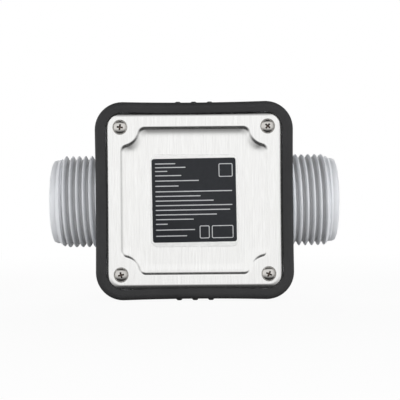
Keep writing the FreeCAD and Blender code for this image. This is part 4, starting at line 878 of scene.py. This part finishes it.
plate = {"support": 0.15 * mm, "edge": 28.8 * mm, "corner": 3.4 * mm, "dimple": 2.62 * mm,
         # the rolled edge, as steps out from the flat face: how far, how deep
         "roll": [(0.3, 0.07), (0.35, 0.13), (0.35, 0.145), (0.3, 0.14), (0.25, 0.125)],
         # the dimple round each screw
         "bowl": [(0.08, 0.03), (0.08, 0.12), (0.05, 0.2), (0.03, 0.25)],
         # the pressed wall, as steps in from its upper edge: how far, how deep
         "wall": [(0.2, 0.02), (0.18, 0.07), (0.2, 0.15), (0.16, 0.17), (0.12, 0.13),
                  (0.35, 0.13), (0.5, 0.165), (0.5, 0.15), (0.45, 0.095), (0.45, 0.06),
                  (0.4, 0.035), (0.4, 0.025)]}


def roundedSquare(half, corner, steps=9):
    # points round a square with rounded corners, anticlockwise as seen from behind
    points = []
    for quarter in range(4):
        across, up = ((1, 1), (-1, 1), (-1, -1), (1, -1))[quarter]
        for step in range(steps + 1):
            angle = math.pi / 2 * (quarter + step / steps)
            points.append(Vector((across * (half - corner) + corner * math.cos(angle), 0,
                                  axisZ + up * (half - corner) + corner * math.sin(angle))))
    return points


def circleRound(centre, radius, steps=40):
    turns = [2 * math.pi * step / steps for step in range(steps)]
    return [centre + Vector((math.cos(turn), 0, math.sin(turn))) * radius for turn in turns]


def encloses(loop, spot):
    # whether a closed run of points goes round a spot, both seen along Y
    inside = False
    for (ax, _, az), (bx, _, bz) in zip(loop, loop[1:] + loop[:1]):
        if (az > spot.y) != (bz > spot.y):
            inside ^= spot.x < ax + (spot.y - az) * (bx - ax) / (bz - az)
    return inside


def anticlockwise(loop):
    area = sum(a.x * b.z - b.x * a.z for a, b in zip(loop, loop[1:] + loop[:1]))
    return loop if area > 0 else loop[::-1]


def fieldOutline():
    # the upper edge of the pressed field, as the solid's flat face has it
    guide = cadCopy("rear_plate", "plateGuide")
    pick(guide, "FACE", lambda centre, normal: normal.y > -0.999
         or centre.y > plateLow.y + 0.003 * mm)
    bpy.ops.mesh.delete(type="FACE")
    leaveEdit()
    field = min((loop for loop in loopsOf(guide) if len(loop) > 40),
                key=lambda loop: max(point.x for point in loop))
    bpy.data.objects.remove(guide)
    return anticlockwise(field)


class Pressing:
    # the points and faces of a pressed sheet, drawn as rings one within another
    def __init__(self, face):
        self.face = face
        self.points = []
        self.faces = []

    def ring(self, loop, out, depth):
        # the loop again, so many millimetres out from its own place and so deep
        middle = sum(loop, Vector()) / len(loop)
        grow = 1 + out * mm / max(point.x - middle.x for point in loop)
        first = len(self.points)
        for point in loop:
            spot = middle + (point - middle) * grow
            self.points.append((spot.x, self.face + depth * mm, spot.z))
        return list(range(first, len(self.points)))

    def strip(self, outer, inner):
        for k in range(len(outer)):
            after = (k + 1) % len(outer)
            self.faces.append((outer[k], outer[after], inner[after], inner[k]))

    def roll(self, loop, rim, profile):
        # from a rim in the flat face out and over the sheet's edge
        out = depth = 0
        inner = rim
        for width, drop in profile:
            out, depth = out + width, depth + drop
            outer = self.ring(loop, out, depth)
            self.strip(outer, inner)
            inner = outer

    def sink(self, loop, rim, profile, support):
        # from a rim in the flat face down the profile to a flat floor
        into = depth = 0
        outer = self.ring(loop, 0, 0)
        self.strip(rim, outer)
        for width, drop in profile:
            into, depth = into + width, depth + drop
            inner = self.ring(loop, -into, depth)
            self.strip(outer, inner)
            outer = inner
        inner = self.ring(loop, -into - support, depth)
        self.strip(outer, inner)
        self.faces.append(tuple(inner))

    def land(self, border, rims):
        # the flat face between its border and the rims of what is let into it
        points = self.points
        flat = border + sum(rims, [])
        links = [(flat.index(a), flat.index(b)) for run in [border] + rims
                 for a, b in zip(run, run[1:] + run[:1])]
        spots = [Vector((points[k][0], points[k][2])) / mm for k in flat]
        _, _, triangles, origins, _, _ = delaunay_2d_cdt(spots, links, [], 0, 1e-6)
        for triangle in triangles:
            corners = [origins[k][0] for k in triangle]
            middle = sum((spots[k] for k in corners), Vector((0, 0))) / 3 * mm
            if any(encloses([points[k] for k in rim], middle) for rim in rims):
                continue
            a, b, c = (Vector(points[flat[k]]) for k in corners)
            turned = (b - a).cross(c - a).y > 0
            self.faces.append(tuple(flat[k] for k in (corners[::-1] if turned else corners)))


def makePlate():
    # the solid gives the outline of the pressed field; the field, the rolled edge and the
    # dimples are drawn with the soft bends of real sheet
    s = plate
    support = s["support"] / mm
    field = fieldOutline()
    edge = roundedSquare(s["edge"], s["corner"])
    form = Pressing(plateLow.y)
    rim = form.ring(edge, 0, 0)
    border = form.ring(edge, -support, 0)
    form.strip(rim, border)
    form.roll(edge, rim, s["roll"])
    hollows = [(field, s["wall"])]
    for place in screw["turns"]:
        low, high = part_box(place + "_screw")
        hollows.append((circleRound((low + high) / 2, s["dimple"]), s["bowl"]))
    rims = [form.ring(loop, support, 0) for loop, profile in hollows]
    form.land(border, rims)
    for (loop, profile), rim in zip(hollows, rims):
        form.sink(loop, rim, profile, support)

    mesh = bpy.data.meshes.new("stampedPlate")
    mesh.from_pydata(form.points, [], form.faces)
    piece = bpy.data.objects.new("stampedPlate", mesh)
    bpy.context.collection.objects.link(piece)
    smooth(piece, 60)
    clad(piece, brushedSheet, "meter_body", "rear_plate", slot="brushed_plate")


def makeBack():
    makePlate()
    placeScrews()
    dress("rating_label", labelFinish(*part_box("rating_label")), ease=0.12 * mm)
    dress("rear_gasket", sealRubber)


makeBack()
print("back ready")


# ---- front: cover, window, display, buttons ----

def makeFront():
    dress("front_cover", coverBlack, ease=0.15 * mm)
    dress("display_window", windowPane, ease=0.1 * mm)
    dress("lcd_frame", innerBlack)
    dress("lcd_glass", displayGlass)
    for name in ("reset", "calibration"):
        dress(f"{name}_button", keyGrey, ease=0.15 * mm)
        coat(f"{name}_button_ring", sealRubber)
        coat(f"{name}_switch", innerBlack)
    coat("lcd_upper_contact_strip", stripRubber)
    coat("lcd_lower_contact_strip", stripRubber)
    coat("circuit_board", boardGreen)
    coat("front_gasket", sealRubber)


makeFront()
print("front ready")


# ---- inside the bore and the block ----

def makeInside():
    dress("turbine_rotor", rotorPlastic, ease=0.08 * mm)
    coat("rotor_shaft", shaftSteel)
    for port in ("inlet", "outlet"):
        dress(f"{port}_straightener", vanePlastic, ease=0.1 * mm)
        dress(f"{port}_retaining_ring", springSteel, ease=0.08 * mm)
        coat(f"{port}_bearing", bushPlastic)
    for level in ("upper", "lower"):
        coat(f"{level}_rotor_magnet", ferrite)
        coat(f"{level}_battery", cellWrap)
        coat(f"{level}_battery_contact", springSteel)
        coat(f"{level}_battery_spring", springSteel)
        for side in ("left", "right"):
            coat(f"{level}_{side}_insert", insertBrass)
    coat("first_pulse_sensor", reedGlass)
    coat("second_pulse_sensor", reedGlass)


makeInside()
print("inside ready")


# ---- studio ----

studio = {"distance": 370 * mm, "field": 146.0 * mm, "roll": 0.5, "shiftX": 0.014,
          "shiftY": 0.0015, "floor": 6.0, "floorShade": 0.6, "lampSize": 0.5,
          # how white the camera sees the floor close by, and where it is white altogether
          "nearWhite": 0.94, "shadowStart": 0.1, "shadowReach": 0.3,
          "lamps": [("front", (0, -0.95, 0.1), 5.8), ("left", (-0.9, -0.3, 0.1), 4.8),
                    ("right", (0.9, -0.3, 0.1), 6.6), ("behind", (0, 0.85, 0.45), 9.0)]}


def floorFinish():
    # pale paper that the camera sees as white, apart from the soft shadow near the object
    s = studio
    f = Finish("floorPaper")
    px, py, pz = f.xyz()
    away = (px * px + py * py).root()
    clear = f.spread(away, s["nearWhite"], 1.0, s["shadowStart"], s["shadowReach"])
    seen = f.node("LightPath", out=0)
    shade = s["floorShade"]
    paper = f.node("BsdfDiffuse", Color=(shade, shade, shade, 1))
    white = f.node("Emission", Color=(1, 1, 1, 1), Strength=1.0)
    f.node("OutputMaterial", Surface=f.node("MixShader", n0=seen * clear, n1=paper, n2=white))
    return f.data


def worldFinish(world):
    # white behind the object; what metal mirrors is white all round at its own height, and
    # falls off above, below and to the far right
    w = Finish("studioWorld", world)
    seen = w.node("LightPath", out=0)
    mirrored = w.node("LightPath", out=3)
    through = w.node("LightPath", out=7)
    toward = w.node("TexCoord", out=0)
    across = w.node("SeparateXYZ", out=0, Vector=toward)
    height = w.node("SeparateXYZ", out=2, Vector=toward)
    above = w.spread(height, 1.0, 0.05, 0.55, 0.82)
    below = w.spread(height, 0.05, 1.0, -0.64, -0.1)
    right = w.spread(across, 1.0, 0.65, 0.55, 0.95)
    soft = w.spread(height, 0.11, 0.25, -0.6, 0.9)
    plain = seen.most(through)
    mirror = above * below * right
    strength = (soft * (1 - mirrored) + mirror * mirrored) * (1 - plain) + plain
    sky = w.node("Background", Color=(1, 1, 1, 1), Strength=strength)
    w.node("OutputWorld", Surface=sky)


def addLamp(name, place, size, power, target):
    deselectAll()
    bpy.ops.object.light_add(type="AREA", location=place)
    lamp = bpy.context.object
    lamp.name = name
    lamp.data.size = size
    lamp.data.energy = power
    lamp.visible_glossy = False
    lamp.visible_transmission = False
    lamp.rotation_euler = (Vector(target) - Vector(place)).to_track_quat("-Z", "Y").to_euler()


def makeStudio():
    s = studio
    deselectAll()
    bpy.ops.mesh.primitive_plane_add(size=s["floor"], location=(0, 0, 0))
    floor = bpy.context.object
    floor.name = "studioFloor"
    floor.data.materials.append(floorFinish())
    floor.visible_glossy = False

    bpy.context.scene.world = bpy.data.worlds.new("studioWorld")
    worldFinish(bpy.context.scene.world)
    middle = (0, axisY, axisZ)
    for name, place, power in s["lamps"]:
        addLamp(name, place, s["lampSize"], power, middle)

    bpy.ops.object.camera_add(location=(0, axisY - s["distance"], axisZ),
                              rotation=(math.pi / 2, math.radians(s["roll"]), 0))
    camera = bpy.context.object
    camera.data.sensor_width = 36
    camera.data.lens = 36 * s["distance"] / s["field"]
    camera.data.shift_x = s["shiftX"]
    camera.data.shift_y = s["shiftY"]
    camera.data.clip_start = 0.01
    bpy.context.scene.camera = camera
    bpy.context.scene.view_settings.view_transform = "Standard"


makeStudio()
print("studio ready")
